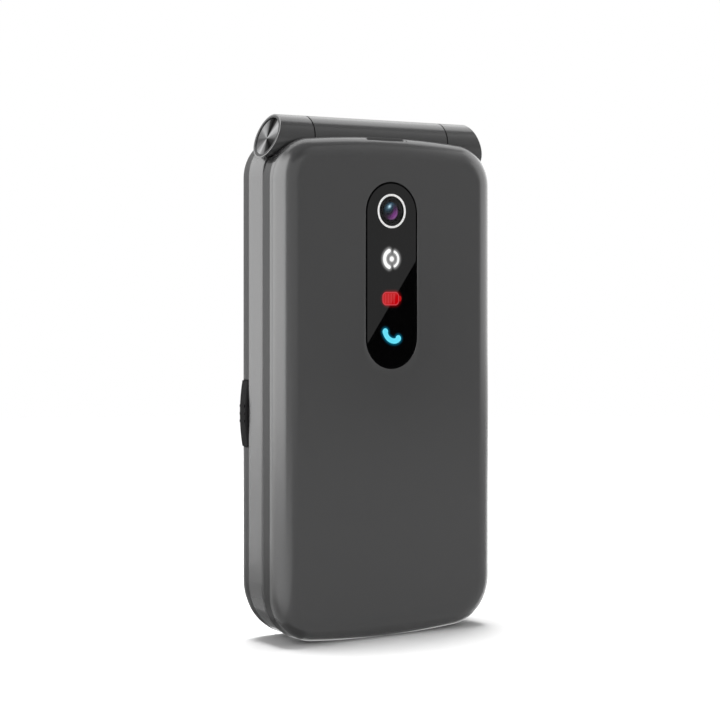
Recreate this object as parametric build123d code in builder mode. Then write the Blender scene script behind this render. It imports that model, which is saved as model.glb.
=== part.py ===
from build123d import *
import os
from math import atan2, cos, degrees, radians, sin, sqrt

# Flip phone, closed and standing on its lower end with the hinge on top, in millimetres.
# X runs across the width, -Y points out of the lid's front, +Y out of the back, +Z is up.
# The origin lies under the middle of the outline, on the surface that the phone stands on.
# Depths are measured from the seam: the lid lies in front of y = 0, and the base, with the keys
# and the battery, behind it. Each finished piece moves by case_shift, to centre the whole on Y.

os.makedirs("parts", exist_ok=True)

# Outline of the two halves
case_width = 54.0
base_height = 103.7
lid_drop = 0.2
lid_thickness = 7.0
base_thickness = 9.8
seam_gap = 0.3
lid_head_radius = 8.8
lid_head_crown = 215.0
lid_foot_radius = 10.0
base_head_radius = 8.6
base_head_crown = 600.0
base_foot_radius = 12.0
foot_crown = 229.0
foot_flat = 0.15
lid_rounding = 3.3
base_rounding = 3.2
seam_rounding = 0.4
lid_split = -2.2
base_split = 5.3

# Walls and fits
wall = 1.3
face_wall = 1.2
fit_gap = 0.1
fine_gap = 0.05

# Hinge
hinge_y = 0.7
hinge_drop = 0.65
barrel_radius = 4.5
barrel_gap = 0.35
knuckle_gap = 0.3
knuckle_side = 1.5
outer_knuckle_length = 8.9
end_slant = 21.0
end_cap_radius = 4.05
end_cap_thickness = 1.0
hinge_can_radius = 2.9
hinge_can_length = 15.0
hinge_can_wall = 0.45
hinge_can_lid = 1.0
hinge_head_radius = 2.6
hinge_head_across = 3.6
hinge_head_length = 6.0
hinge_shaft_radius = 1.2
hinge_shaft_length = 9.0
spring_wire = 0.6
spring_turns = 7
channel_wall = 1.0
pivot_radius = 1.5
pivot_reach = 11.6
pivot_seat = 4.6
running_gap = 0.05
flex_roll_radius = 3.4
flex_roll_length = 6.0
flex_roll_band = 1.0
flex_width = 5.0
flex_thickness = 0.3
base_flex_width = 3.5
flex_bend_high = 6.5
flex_bend_low = 4.0

# Window in the lid's front, with the camera and the lights behind it
window_width = 13.0
window_length = 38.7
window_head = 9.35
window_thickness = 0.8
window_ledge = 1.0
camera_drop = 6.05
ring_outer = 3.58
ring_inner = 3.0
ring_rise = 0.12
lens_recess = 0.25
lens_thickness = 0.5
camera_size = 8.2
camera_thickness = 2.7
camera_corner = 0.8
camera_tube_radius = 2.7
torch_drop = 9.9
torch_radius = 2.15
torch_band = 0.75
torch_gap = 1.3
torch_dot = 0.55
battery_sign_drop = 8.2
battery_sign_width = 4.9
battery_sign_height = 3.1
battery_nub = 0.55
battery_nub_height = 1.5
call_sign_drop = 7.8
call_sign_width = 5.2
call_sign_height = 3.45
call_sign_grip = 1.1
call_sign_cup = 0.85
call_sign_sag = 0.75
sign_depth = 1.3
led_size = 2.6
led_height = 0.45

# Groove in the lid's top edge
groove_width = 10.1
groove_depth = 0.6
groove_thickness = 1.2
groove_setback = 1.8

# Display side of the lid
glass_side = 5.5
glass_low = 22.0
glass_head = 15.5
glass_radius = 2.5
glass_thickness = 0.9
glass_recess = 0.15
glass_ledge = 1.5
display_border_x = 1.8
display_border_z = 4.5
display_thickness = 2.4
lid_board_border = 2.5
lid_board_low = 17.0
lid_board_head = 3.0
board_thickness = 0.8
earpiece_width = 12.0
earpiece_height = 6.0
earpiece_thickness = 2.6
earpiece_corner = 1.0
earpiece_mesh_recess = 0.3
earpiece_z = 12.0
earpiece_slot_width = 9.0
earpiece_slot_height = 1.3
magnet_size = 4.0
magnet_thickness = 1.5
magnet_x = 14.0
magnet_z = 10.0
bumper_radius = 1.6
bumper_rise = 0.2
bumper_thickness = 0.4
lid_screw_side = 5.0
lid_screw_low = 14.5
lid_screw_head = 13.5
lid_screw_length = 3.4

# Screws and their bosses
head_screw_side = 6.0
head_screw_drop = 9.7
middle_screw_side = 4.7
middle_screw_drop = 41.1
foot_screw_side = 6.2
foot_screw_z = 7.6
boss_radius = 1.9
screw_shank = 0.7
screw_head = 1.25
screw_head_height = 0.8
screw_hole = 0.9
pilot_hole = 0.75
screw_bite = 2.6
screw_seat = 7.7
plug_radius = 1.35
plug_thickness = 0.9

# Keypad
panel_side = 3.2
panel_low = 7.6
panel_head = 11.7
panel_radius = 7.0
panel_recess = 0.5
panel_thickness = 0.5
deck_thickness = 0.8
key_gap = 0.15
key_rise = 0.45
key_travel = 0.3
key_flange = 0.5
key_flange_thickness = 0.4
key_plunger = 0.3
key_plunger_radius = 1.5
key_rounding = 0.2
digit_columns = 3
digit_rows = 4
digit_radius = 2.5
digit_gap_x = 1.6
digit_gap_z = 1.7
digit_side = 1.5
digit_foot = 3.3
digit_head = 5.0
nav_drop = 15.5
nav_outer = 11.5
nav_inner = 5.4
nav_split = 1.4
select_radius = 4.0
side_key_side = 1.4
side_key_gap = 1.3
soft_key_rise = 8.0
soft_key_height = 7.0
call_key_drop = 7.0
call_key_height = 8.6
side_key_radius = 2.2
dome_height = 0.15
dome_radius = 2.2
dome_sheet_thickness = 0.15

# Boards and parts inside the base
board_inset = 1.6
board_head = 7.7
dome_sheet_inset = 1.3
bay_floor_thickness = 0.5
battery_side = 10.0
battery_thickness = 3.6
battery_low = 9.0
battery_radius = 1.0
bay_gap = 0.4
bay_wall = 1.0
bay_head = 29.7
contact_width = 10.0
contact_depth = 2.2
contact_reach = 0.9
contact_head = 1.3
contact_fingers = 3
contact_finger = 0.6
contact_pitch = 2.8
sim_width = 16.0
sim_height = 10.0
sim_thickness = 1.5
sim_x = -7.0
sim_drop = 5.6
sim_corner = 0.6
sim_card_width = 12.3
sim_card_height = 8.8
sim_card_thickness = 0.7
sim_lip = 1.5
cover_side_lip = 2.4
cover_foot_lip = 1.8
cover_head_lip = 1.6
cover_radius = 5.0
cover_thickness = 1.15
cover_gap = 0.15
ledge_thickness = 1.0
cover_rib = 0.8
cover_rib_inset = 14.4
ledge_overlap = 1.2
thumb_width = 9.0
thumb_depth = 0.5
thumb_radius = 4.0
thumb_drop = 4.0
speaker_width = 15.0
speaker_height = 10.5
speaker_thickness = 2.8
speaker_gap = 1.1
speaker_drop = 14.1
speaker_corner = 1.5
grille_radius = 0.55
grille_pitch = 1.7
grille_columns = 7
grille_rows = 3
motor_radius = 2.0
motor_length = 8.0
motor_drop = 15.7
motor_shaft = 0.4
cradle_wall = 1.3
cradle_inset = 1.3
weight_radius = 1.9
weight_length = 3.0
weight_gap = 0.5
weight_side = 4.9
jack_bore = 1.8
jack_rim = 0.2
jack_body = 4.6
jack_length = 12.5
jack_y = 5.9
jack_drop = 24.1
jack_face_gap = 0.8
port_width = 9.0
port_thickness = 3.2
port_depth = 5.2
port_low = 0.35
port_wall = 0.3
port_tongue_width = 6.7
port_tongue_thickness = 0.7
mic_x = 11.0
mic_z = 5.6
mic_size = 3.4
mic_height = 1.1
mic_hole = 0.5
antenna_width = 12.0
antenna_height = 2.4
antenna_thickness = 3.3
antenna_x = -11.5
antenna_z = 4.6
shield_height = 3.0
shield_width = 5.4
shield_side = 5.3
right_shield_low = 16.0
right_shield_head = 4.6
left_shield_low = 12.0
left_shield_head = 8.5

# Volume rocker in the left side
rocker_drop = 57.2
rocker_length = 13.5
rocker_width = 2.8
rocker_y = 6.9
rocker_rise = 0.6
rocker_gap = 0.2
rocker_depth = 2.05
rocker_room = 0.5
rocker_edge = 0.5
rocker_flange = 0.7
rocker_flange_width = 1.6
rocker_flange_thickness = 0.5
rocker_ridge_pitch = 1.55
rocker_ridge_height = 0.14
rocker_ridge_width = 0.5
switch_thickness = 1.4
switch_length = 11.0
switch_rib = 0.4
switch_rib_width = 1.0

# Places worked out from the sizes above
case_shift = (lid_thickness - base_thickness) / 2
half_width = case_width / 2
lid_height = base_height - lid_drop
hinge_z = base_height - hinge_drop
lid_front = -lid_thickness
groove_y = lid_front + groove_setback
lid_seam = -seam_gap / 2
base_seam = seam_gap / 2
base_back = base_thickness
lid_inside = lid_front + face_wall
back_inside = base_back - face_wall
channel_radius = barrel_radius + barrel_gap
knuckle_end = half_width - knuckle_side
half_knuckle = knuckle_end - outer_knuckle_length
outer_start = half_knuckle + knuckle_gap
panel_front = base_seam + panel_recess
deck_front = panel_front + panel_thickness
deck_back = deck_front + deck_thickness
key_top = panel_front - key_rise
flange_front = deck_back + fine_gap
flange_back = flange_front + key_flange_thickness
plunger_back = flange_back + key_plunger
dome_top = plunger_back + key_travel + fine_gap
sheet_front = dome_top + dome_height
board_front = sheet_front + dome_sheet_thickness
board_back = board_front + board_thickness
bay_floor_front = board_back + fit_gap
bay_floor = bay_floor_front + bay_floor_thickness
battery_width = case_width - 2 * battery_side
bay_half_width = battery_width / 2 + bay_gap
bay_low = battery_low - bay_gap
bay_high = base_height - bay_head
sim_z = bay_high - sim_drop
contacts_low = sim_z - sim_height / 2 - contact_head - contact_depth
battery_high = contacts_low - contact_reach
battery_height = battery_high - battery_low
ledge_front = back_inside - ledge_thickness
cover_back = base_back
cover_front = base_back - cover_thickness
battery_back = bay_floor + fine_gap + battery_thickness
battery_middle = (bay_floor + battery_back) / 2
sim_card_front = bay_floor + (sim_thickness - sim_card_thickness) / 2
sim_card_back = sim_card_front + sim_card_thickness
speaker_back = back_inside - fine_gap
speaker_front = speaker_back - speaker_thickness
motor_y = back_inside - fit_gap - motor_radius
plug_back = base_back - fit_gap
window_centre_z = lid_height - window_head - window_length / 2
camera_z = lid_height - window_head - camera_drop
torch_z = camera_z - torch_drop
battery_sign_z = torch_z - battery_sign_drop
call_sign_z = battery_sign_z - call_sign_drop
glass_width = case_width - 2 * glass_side
glass_height = lid_height - glass_head - glass_low
glass_centre_z = glass_low + glass_height / 2
display_width = glass_width - 2 * display_border_x
display_height = glass_height - 2 * display_border_z
lid_board_width = glass_width - 2 * lid_board_border
lid_board_high = camera_z - camera_size / 2 - lid_board_head
lid_board_height = lid_board_high - lid_board_low
lid_board_centre_z = lid_board_low + lid_board_height / 2
glass_back = lid_seam - glass_recess
glass_front = glass_back - glass_thickness
display_back = glass_front - fine_gap
display_front = display_back - display_thickness
lid_board_back = display_front - fit_gap
lid_board_front = lid_board_back - board_thickness
window_back = lid_front + window_thickness
can_start = half_knuckle - hinge_can_length
flex_roll_end = -half_knuckle + flex_roll_length
flex_x = -half_knuckle + fit_gap + flex_width / 2
flex_front = hinge_y - flex_roll_radius
base_flex_x = -outer_start - fit_gap - base_flex_width / 2
base_flex_back = hinge_y + flex_roll_radius
camera_back = lid_inside + fit_gap + camera_thickness
earpiece_back = lid_split - fine_gap
earpiece_front = earpiece_back - earpiece_thickness
magnet_back = lid_split - fine_gap
magnet_front = magnet_back - magnet_thickness
bumper_front = lid_seam + bumper_rise - bumper_thickness
lid_screw_seat = bumper_front - fine_gap - screw_head_height
lid_screw_tip = lid_screw_seat - lid_screw_length
lid_screw_high = lid_height - lid_screw_head
middle_screw_z = base_height - middle_screw_drop
base_screw_places = [(head_screw_side, base_height - head_screw_drop), (middle_screw_side, middle_screw_z),
                     (foot_screw_side, foot_screw_z)]
base_screws = [(side * (half_width - inset), z) for inset, z in base_screw_places for side in (-1, 1)]
lid_screws = [(side * (half_width - lid_screw_side), z) for z in (lid_screw_low, lid_screw_high)
              for side in (-1, 1)]
panel_width = case_width - 2 * panel_side
panel_high = base_height - panel_head
panel_height = panel_high - panel_low
panel_z = panel_low + panel_height / 2
nav_z = panel_high - nav_drop
digits_low = panel_low + digit_foot
digits_high = nav_z - nav_outer - digit_head
digit_width = (panel_width - 2 * digit_side - (digit_columns - 1) * digit_gap_x) / digit_columns
digit_height = (digits_high - digits_low - (digit_rows - 1) * digit_gap_z) / digit_rows
side_key_inner = nav_outer + side_key_gap
side_key_width = panel_width / 2 - side_key_side - side_key_inner
side_key_x = side_key_inner + side_key_width / 2
soft_key_z = nav_z + soft_key_rise
call_key_z = nav_z - call_key_drop
board_high = base_height - board_head
rocker_z = base_height - rocker_drop
jack_z = base_height - jack_drop
motor_z = base_height - motor_drop
motor_left = weight_side + weight_length + weight_gap - half_width
motor_right = motor_left + motor_length
speaker_x = motor_right + speaker_gap + speaker_width / 2
speaker_z = base_height - speaker_drop


def at_depth(y):
    """Sketch plane at depth y, seen from the front: local x is X and local y is Z."""
    return Plane.XZ.offset(-y)


def case_outline(height, head_radius, head_crown, foot_radius, inset=0.0):
    """Outline with crowned ends and round corners, drawn inset from the outer surface."""
    half = half_width - inset
    top, low = height - inset, inset - foot_flat
    head, foot = head_radius - inset, foot_radius - inset
    head_arch, foot_arch = head_crown - inset, foot_crown - inset
    head_rise = sqrt((head_arch - head) ** 2 - (half - head) ** 2)
    foot_rise = sqrt((foot_arch - foot) ** 2 - (half - foot) ** 2)
    head_turn = degrees(atan2(head_rise, half - head))
    foot_turn = degrees(atan2(foot_rise, half - foot))
    head_corner = (half - head, top - head_arch + head_rise)
    foot_corner = (half - foot, low + foot_arch - foot_rise)
    with BuildSketch() as outline:
        with BuildLine():
            CenterArc((0, top - head_arch), head_arch, head_turn, 90 - head_turn)
            CenterArc(head_corner, head, 0, head_turn)
            Line((half, head_corner[1]), (half, foot_corner[1]))
            CenterArc(foot_corner, foot, -foot_turn, foot_turn)
            CenterArc((0, low + foot_arch), foot_arch, -90, 90 - foot_turn)
            mirror(about=Plane.YZ)
        make_face()
    return outline.sketch


def lid_outline(inset=0.0):
    """Outline of the lid."""
    return case_outline(lid_height, lid_head_radius, lid_head_crown, lid_foot_radius, inset)


def base_outline(inset=0.0):
    """Outline of the base, with larger corners at its foot and a flatter head."""
    return case_outline(base_height, base_head_radius, base_head_crown, base_foot_radius, inset)


def slab(shape, front, back, front_rounding=0.0, back_rounding=0.0):
    """Solid of a drawn shape between two depths, with its front and back rims rounded."""
    with BuildPart() as block:
        with BuildSketch(at_depth(front)):
            add(shape)
        extrude(amount=front - back)
        if front_rounding:
            fillet(block.faces().sort_by(Axis.Y)[0].edges(), front_rounding)
        if back_rounding:
            fillet(block.faces().sort_by(Axis.Y)[-1].edges(), back_rounding)
    return block.part


def plate(width, height, x, z, front, back, corner=0.0):
    """Rectangular slab centred on x and z, with round corners where a radius is given."""
    with BuildSketch() as shape:
        with Locations((x, z)):
            if corner:
                RectangleRounded(width, height, corner)
            else:
                Rectangle(width, height)
    return slab(shape.sketch, front, back)


def peg(radius, x, z, front, back):
    """Round peg along Y."""
    with BuildSketch() as shape:
        with Locations((x, z)):
            Circle(radius)
    return slab(shape.sketch, front, back)


def roll(radius, left, right, y=hinge_y, z=hinge_z):
    """Cylinder along X, on the hinge axis unless another place is given."""
    with BuildPart() as cylinder:
        with BuildSketch(Plane.YZ.offset(left)):
            with Locations((y, z)):
                Circle(radius)
        extrude(amount=right - left)
    return cylinder.part


def end_plane(side, depth):
    """Slanted end of the barrel, or a plane parallel to it further in."""
    slant = radians(end_slant)
    origin = (side * (knuckle_end - depth), hinge_y, hinge_z)
    return Plane(origin=origin, z_dir=(side * cos(slant), 0, sin(slant)))


def outer_knuckle(side):
    """Outer part of the barrel, cut square inside and slanted at the end."""
    ends = sorted((side * outer_start, side * (knuckle_end + barrel_radius)))
    with BuildPart() as knuckle:
        add(roll(barrel_radius, *ends))
        split(bisect_by=end_plane(side, 0), keep=Keep.BOTTOM)
    return knuckle.part


def end_disc(side, radius, thickness):
    """Slanted disc flush with the barrel's end."""
    ends = sorted((side * outer_start, side * (knuckle_end + barrel_radius)))
    with BuildPart() as disc:
        add(roll(radius, *ends))
        split(bisect_by=end_plane(side, 0), keep=Keep.BOTTOM)
        split(bisect_by=end_plane(side, thickness), keep=Keep.TOP)
    return disc.part


def flex_slot(back):
    """Slot that the lid's flat cable takes from its roll down into the lid."""
    height = 2 * (channel_radius + channel_wall)
    return plate(flex_width + 2 * fit_gap, height, flex_x, hinge_z - height / 2, flex_front - fit_gap, back)


def finish(part, name):
    """Move a finished piece into the phone's frame, name it and write it."""
    placed = part.moved(Location((0, case_shift, 0)))
    placed.label = name
    export_step(placed, f"parts/{name}.step")


# Signs that shine through the window

with BuildSketch() as torch_sign:
    with Locations((0, torch_z)):
        Circle(torch_radius)
        Circle(torch_radius - torch_band, mode=Mode.SUBTRACT)
        Rectangle(torch_gap, 2 * torch_radius, mode=Mode.SUBTRACT)
        Circle(torch_dot)

with BuildSketch() as battery_sign:
    with Locations((-battery_nub / 2, battery_sign_z)):
        RectangleRounded(battery_sign_width, battery_sign_height, battery_nub)
    with Locations((battery_sign_width / 2, battery_sign_z)):
        Rectangle(battery_nub, battery_nub_height)

cup_x = call_sign_width / 2 - call_sign_cup
cup_z = call_sign_height / 2 - call_sign_cup
ear_cup = (-cup_x, call_sign_z + cup_z)
mouth_cup = (cup_x, call_sign_z - cup_z)
grip_middle = (-call_sign_sag, call_sign_z - call_sign_sag)

with BuildSketch() as call_sign:
    SlotArc(ThreePointArc(ear_cup, grip_middle, mouth_cup), call_sign_grip)
    with Locations(ear_cup, mouth_cup):
        Circle(call_sign_cup)

with BuildSketch() as window_shape:
    with Locations((0, window_centre_z)):
        SlotOverall(window_length, window_width, rotation=90)

with BuildSketch() as window_opening:
    with Locations((0, window_centre_z)):
        SlotOverall(window_length - 2 * window_ledge, window_width - 2 * window_ledge, rotation=90)

signs = {"torch_light": torch_sign, "battery_light": battery_sign, "call_light": call_sign}

# Lid cover, the shell with the window in its front

with BuildPart() as lid_hollow:
    add(slab(lid_outline(wall), lid_inside, lid_split, lid_rounding - wall))
    add(roll(channel_radius + channel_wall, -case_width, case_width), mode=Mode.SUBTRACT)

with BuildPart() as lid_cover:
    add(slab(lid_outline(), lid_front, lid_split, lid_rounding))
    add(lid_hollow.part, mode=Mode.SUBTRACT)
    for x, z in lid_screws:
        add(peg(boss_radius, x, z, lid_inside, lid_split))
        add(peg(pilot_hole, x, z, lid_inside + fine_gap, lid_split), mode=Mode.SUBTRACT)
    add(slab(window_shape.sketch, lid_front, window_back), mode=Mode.SUBTRACT)
    add(slab(window_opening.sketch, lid_front, lid_inside), mode=Mode.SUBTRACT)
    add(roll(channel_radius, -case_width, case_width), mode=Mode.SUBTRACT)
    add(flex_slot(lid_split), mode=Mode.SUBTRACT)
    with BuildSketch(Plane.XY.offset(lid_height - groove_depth)):
        with Locations((0, groove_y)):
            SlotOverall(groove_width, groove_thickness)
    extrude(amount=2 * groove_depth, mode=Mode.SUBTRACT)
    split(bisect_by=Plane.XY, keep=Keep.TOP)
finish(lid_cover.part, "lid_cover")

# Lid frame, the inner half of the lid with the barrel's middle knuckle

with BuildSketch() as glass_shape:
    with Locations((0, glass_centre_z)):
        RectangleRounded(glass_width, glass_height, glass_radius)

with BuildSketch() as glass_opening:
    with Locations((0, glass_centre_z)):
        RectangleRounded(glass_width - 2 * glass_ledge, glass_height - 2 * glass_ledge, glass_radius)

with BuildPart() as lid_frame:
    add(slab(lid_outline(), lid_split, lid_seam, 0.0, seam_rounding))
    for side in (-1, 1):
        ends = sorted((side * half_knuckle, side * case_width))
        add(roll(channel_radius, *ends), mode=Mode.SUBTRACT)
    add(roll(barrel_radius, -half_knuckle, half_knuckle))
    with BuildSketch(at_depth(glass_front)):
        offset(glass_shape.sketch, amount=fit_gap)
    extrude(amount=glass_front - base_seam, mode=Mode.SUBTRACT)
    add(slab(glass_opening.sketch, lid_split, base_seam), mode=Mode.SUBTRACT)
    with BuildSketch(at_depth(lid_split)):
        with Locations((0, earpiece_z)):
            SlotOverall(earpiece_slot_width, earpiece_slot_height)
    extrude(amount=lid_split - base_seam, mode=Mode.SUBTRACT)
    for x, z in lid_screws:
        add(peg(screw_hole, x, z, lid_split, base_seam), mode=Mode.SUBTRACT)
        add(peg(bumper_radius, x, z, lid_screw_seat, base_seam), mode=Mode.SUBTRACT)
    add(roll(hinge_can_radius + fine_gap, can_start, half_knuckle), mode=Mode.SUBTRACT)
    add(roll(pivot_radius + running_gap, -half_knuckle, can_start), mode=Mode.SUBTRACT)
    add(roll(flex_roll_radius + fit_gap, -half_knuckle, flex_roll_end + fit_gap), mode=Mode.SUBTRACT)
    add(flex_slot(flex_front + flex_thickness + fit_gap), mode=Mode.SUBTRACT)
    split(bisect_by=Plane.XY, keep=Keep.TOP)
finish(lid_frame.part, "lid_frame")

# Window, with holes for the camera ring and for each sign

with BuildPart() as camera_window:
    with BuildSketch(at_depth(lid_front)):
        add(window_shape.sketch)
        offset(amount=-fine_gap)
        with Locations((0, camera_z)):
            Circle(ring_outer + fine_gap, mode=Mode.SUBTRACT)
        for sign in signs.values():
            add(sign.sketch, mode=Mode.SUBTRACT)
    extrude(amount=lid_front - window_back)
finish(camera_window.part, "camera_window")

for name, sign in signs.items():
    finish(slab(sign.sketch, lid_front, lid_front + sign_depth), name)

with BuildPart() as camera_ring:
    with BuildSketch(at_depth(lid_front - ring_rise)):
        with Locations((0, camera_z)):
            Circle(ring_outer)
            Circle(ring_inner, mode=Mode.SUBTRACT)
    extrude(amount=-(ring_rise + window_thickness))
finish(camera_ring.part, "camera_ring")

lens_front = lid_front + lens_recess
lens_back = lens_front + lens_thickness
finish(peg(ring_inner - fine_gap, 0, camera_z, lens_front, lens_back), "camera_lens")

with BuildPart() as camera_module:
    add(peg(camera_tube_radius, 0, camera_z, lens_back, lid_inside + fit_gap))
    add(plate(camera_size, camera_size, 0, camera_z, lid_inside + fit_gap, camera_back, camera_corner))
finish(camera_module.part, "camera_module")

# Display, lid board, earpiece and the small parts of the lid

with BuildPart() as lid_board:
    add(plate(lid_board_width, lid_board_height, 0, lid_board_centre_z, lid_board_front, lid_board_back))
    for z in (torch_z, battery_sign_z, call_sign_z):
        add(plate(led_size, led_size, 0, z, lid_board_front - led_height, lid_board_front))
finish(lid_board.part, "lid_board")
finish(plate(display_width, display_height, 0, glass_centre_z, display_front, display_back), "display_module")
finish(slab(glass_shape.sketch, glass_front, glass_back), "display_glass")

with BuildPart() as earpiece:
    add(plate(earpiece_width, earpiece_height, 0, earpiece_z, earpiece_front, earpiece_back, earpiece_corner))
    with BuildSketch(at_depth(earpiece_back)):
        with Locations((0, earpiece_z)):
            SlotOverall(earpiece_slot_width - 2 * fit_gap, earpiece_slot_height - 2 * fit_gap)
    extrude(amount=earpiece_back - (lid_seam - earpiece_mesh_recess))
finish(earpiece.part, "earpiece")

finish(plate(magnet_size, magnet_size, magnet_x, magnet_z, magnet_front, magnet_back), "lid_magnet")

with BuildPart() as lid_screw_set:
    for x, z in lid_screws:
        add(peg(screw_head, x, z, lid_screw_seat, lid_screw_seat + screw_head_height))
        add(peg(screw_shank, x, z, lid_screw_tip, lid_screw_seat))
finish(lid_screw_set.part, "lid_screws")

with BuildPart() as lid_bumpers:
    for x, z in lid_screws:
        add(peg(bumper_radius - fine_gap, x, z, bumper_front, lid_seam + bumper_rise))
finish(lid_bumpers.part, "lid_bumpers")

# Hinge: a can with a spring and a shaft on the right, a pivot pin and the flat cable on the left

shaft_start = outer_start - hinge_shaft_length

with BuildPart() as hinge_head:
    with BuildSketch(Plane.YZ.offset(outer_start)):
        with Locations((hinge_y, hinge_z)):
            Circle(hinge_head_radius)
            Rectangle(hinge_head_across, 2 * hinge_head_radius, mode=Mode.INTERSECT)
    extrude(amount=hinge_head_length - fine_gap)
    add(roll(hinge_shaft_radius, shaft_start, outer_start))
finish(hinge_head.part, "hinge_head")

can_hollow = (can_start + hinge_can_lid, half_knuckle - hinge_can_lid)
spring_radius = hinge_shaft_radius + spring_wire / 2 + 2 * fit_gap
spring_start = can_hollow[0] + spring_wire
spring_length = can_hollow[1] - spring_start - spring_wire

with BuildPart() as spring:
    with BuildLine():
        coil = Helix(spring_length / spring_turns, spring_length, spring_radius,
                     center=(spring_start, hinge_y, hinge_z), direction=(1, 0, 0))
    with BuildSketch(Plane(origin=coil @ 0, z_dir=coil % 0)):
        Circle(spring_wire / 2)
    sweep()

with BuildPart() as hinge_can:
    add(roll(hinge_can_radius, can_start + fine_gap, half_knuckle - fine_gap))
    add(roll(hinge_can_radius - hinge_can_wall, *can_hollow), mode=Mode.SUBTRACT)
    add(roll(hinge_shaft_radius + running_gap, can_hollow[1], half_knuckle), mode=Mode.SUBTRACT)
    add(spring.part)
finish(hinge_can.part, "hinge_can")

pivot_ends = (-outer_start - pivot_seat, -half_knuckle + pivot_reach)
finish(roll(pivot_radius, *pivot_ends), "pivot_pin")

roll_inner = flex_roll_radius - flex_roll_band
strip_back = flex_front + flex_thickness
tail_front = lid_board_back - flex_thickness
bend_high = lid_board_high + flex_bend_high
bend_low = lid_board_high + flex_bend_low

with BuildPart() as lid_flex:
    add(roll(flex_roll_radius, flex_x - flex_width / 2, flex_x + flex_width / 2))
    add(roll(roll_inner, flex_x - flex_width / 2, flex_x + flex_width / 2), mode=Mode.SUBTRACT)
    with BuildSketch(Plane.YZ.offset(flex_x - flex_width / 2)):
        with BuildLine():
            Polyline((flex_front, hinge_z), (flex_front, bend_high), (tail_front, bend_low),
                     (tail_front, lid_board_high), (lid_board_back, lid_board_high),
                     (lid_board_back, bend_low), (strip_back, bend_high), (strip_back, hinge_z), close=True)
        make_face()
    extrude(amount=flex_width)
finish(lid_flex.part, "lid_flex")

with BuildPart() as base_flex:
    ends = (base_flex_x - base_flex_width / 2, base_flex_x + base_flex_width / 2)
    add(roll(flex_roll_radius, *ends))
    add(roll(roll_inner, *ends), mode=Mode.SUBTRACT)
    strip_height = hinge_z - board_high
    add(plate(base_flex_width, strip_height, base_flex_x, board_high + strip_height / 2,
              base_flex_back - flex_thickness, base_flex_back))
finish(base_flex.part, "base_flex")

with BuildPart() as end_caps:
    for side in (-1, 1):
        add(end_disc(side, end_cap_radius, end_cap_thickness))
finish(end_caps.part, "end_caps")

# Keys, each a cap with a retaining flange and a plunger over its dome

def nav_shape(turn):
    """Quarter of the ring about the select key, with straight gaps to its neighbours."""
    apex = nav_split / sqrt(2)
    with BuildSketch() as quarter:
        with Locations((0, nav_z)):
            Circle(nav_outer)
            Circle(nav_inner, mode=Mode.SUBTRACT)
        with Locations(Location((0, nav_z, 0), (0, 0, turn))):
            Polygon((apex, 0), (apex + nav_outer, nav_outer), (apex + nav_outer, -nav_outer),
                    align=None, mode=Mode.INTERSECT)
    return quarter.sketch


def pad_shape(width, height, x, z, corner):
    """Key cap with round corners."""
    with BuildSketch() as pad:
        with Locations((x, z)):
            RectangleRounded(width, height, corner)
    return pad.sketch


def key_solid(shape, x, z):
    """Key with its flange behind the deck and its plunger at x and z."""
    with BuildPart() as key:
        add(slab(shape, key_top, flange_front, key_rounding))
        with BuildSketch(at_depth(flange_front)):
            offset(shape, amount=key_flange)
        extrude(amount=flange_front - flange_back)
        add(peg(key_plunger_radius, x, z, flange_back, plunger_back))
    return key.part


keys = {}
for row, names in enumerate((("1", "2", "3"), ("4", "5", "6"), ("7", "8", "9"), ("star", "0", "hash"))):
    for column, name in enumerate(names):
        x = (column - 1) * (digit_width + digit_gap_x)
        z = digits_high - digit_height / 2 - row * (digit_height + digit_gap_z)
        keys[f"key_{name}"] = (pad_shape(digit_width, digit_height, x, z, digit_radius), x, z)
nav_middle = (nav_outer + nav_inner) / 2
for name, turn in (("right", 0), ("up", 90), ("left", 180), ("down", 270)):
    x, z = nav_middle * cos(radians(turn)), nav_z + nav_middle * sin(radians(turn))
    keys[f"key_{name}"] = (nav_shape(turn), x, z)
with BuildSketch() as select_shape:
    with Locations((0, nav_z)):
        Circle(select_radius)
keys["key_select"] = (select_shape.sketch, 0, nav_z)
for name, side in (("left", -1), ("right", 1)):
    x = side * side_key_x
    soft = pad_shape(side_key_width, soft_key_height, x, soft_key_z, side_key_radius)
    keys[f"key_soft_{name}"] = (soft, x, soft_key_z)
for name, side in (("call", -1), ("end", 1)):
    x = side * side_key_x
    key = pad_shape(side_key_width, call_key_height, x, call_key_z, side_key_radius)
    keys[f"key_{name}"] = (key, x, call_key_z)

for name, (shape, x, z) in keys.items():
    finish(key_solid(shape, x, z), name)

with BuildSketch() as key_openings:
    for shape, x, z in keys.values():
        offset(shape, amount=key_gap, mode=Mode.ADD)

with BuildSketch() as panel_shape:
    with Locations((0, panel_z)):
        RectangleRounded(panel_width, panel_height, panel_radius)

with BuildPart() as keypad_panel:
    with BuildSketch(at_depth(panel_front)):
        add(panel_shape.sketch)
        offset(amount=-fine_gap)
        add(key_openings.sketch, mode=Mode.SUBTRACT)
    extrude(amount=-panel_thickness)
finish(keypad_panel.part, "keypad_panel")

# Openings that both shells of the base share

port_front = board_back + fine_gap
port_back = port_front + port_thickness
port_y = (port_front + port_back) / 2
port_mouth = port_thickness / 2 + fit_gap

with BuildPart() as shared_openings:
    add(roll(jack_bore + jack_rim, half_width - 2 * wall, case_width, jack_y, jack_z))
    with BuildSketch():
        with Locations((0, port_y)):
            SlotOverall(port_width + 2 * fit_gap, 2 * port_mouth)
    extrude(amount=2 * wall)
    add(roll(channel_radius, -outer_start, outer_start))

# Front shell of the base, with the deck that holds the keys and the outer knuckles

with BuildPart() as front_hollow:
    add(slab(base_outline(wall), deck_back, base_split))
    add(roll(channel_radius + channel_wall, -case_width, case_width), mode=Mode.SUBTRACT)

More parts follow.
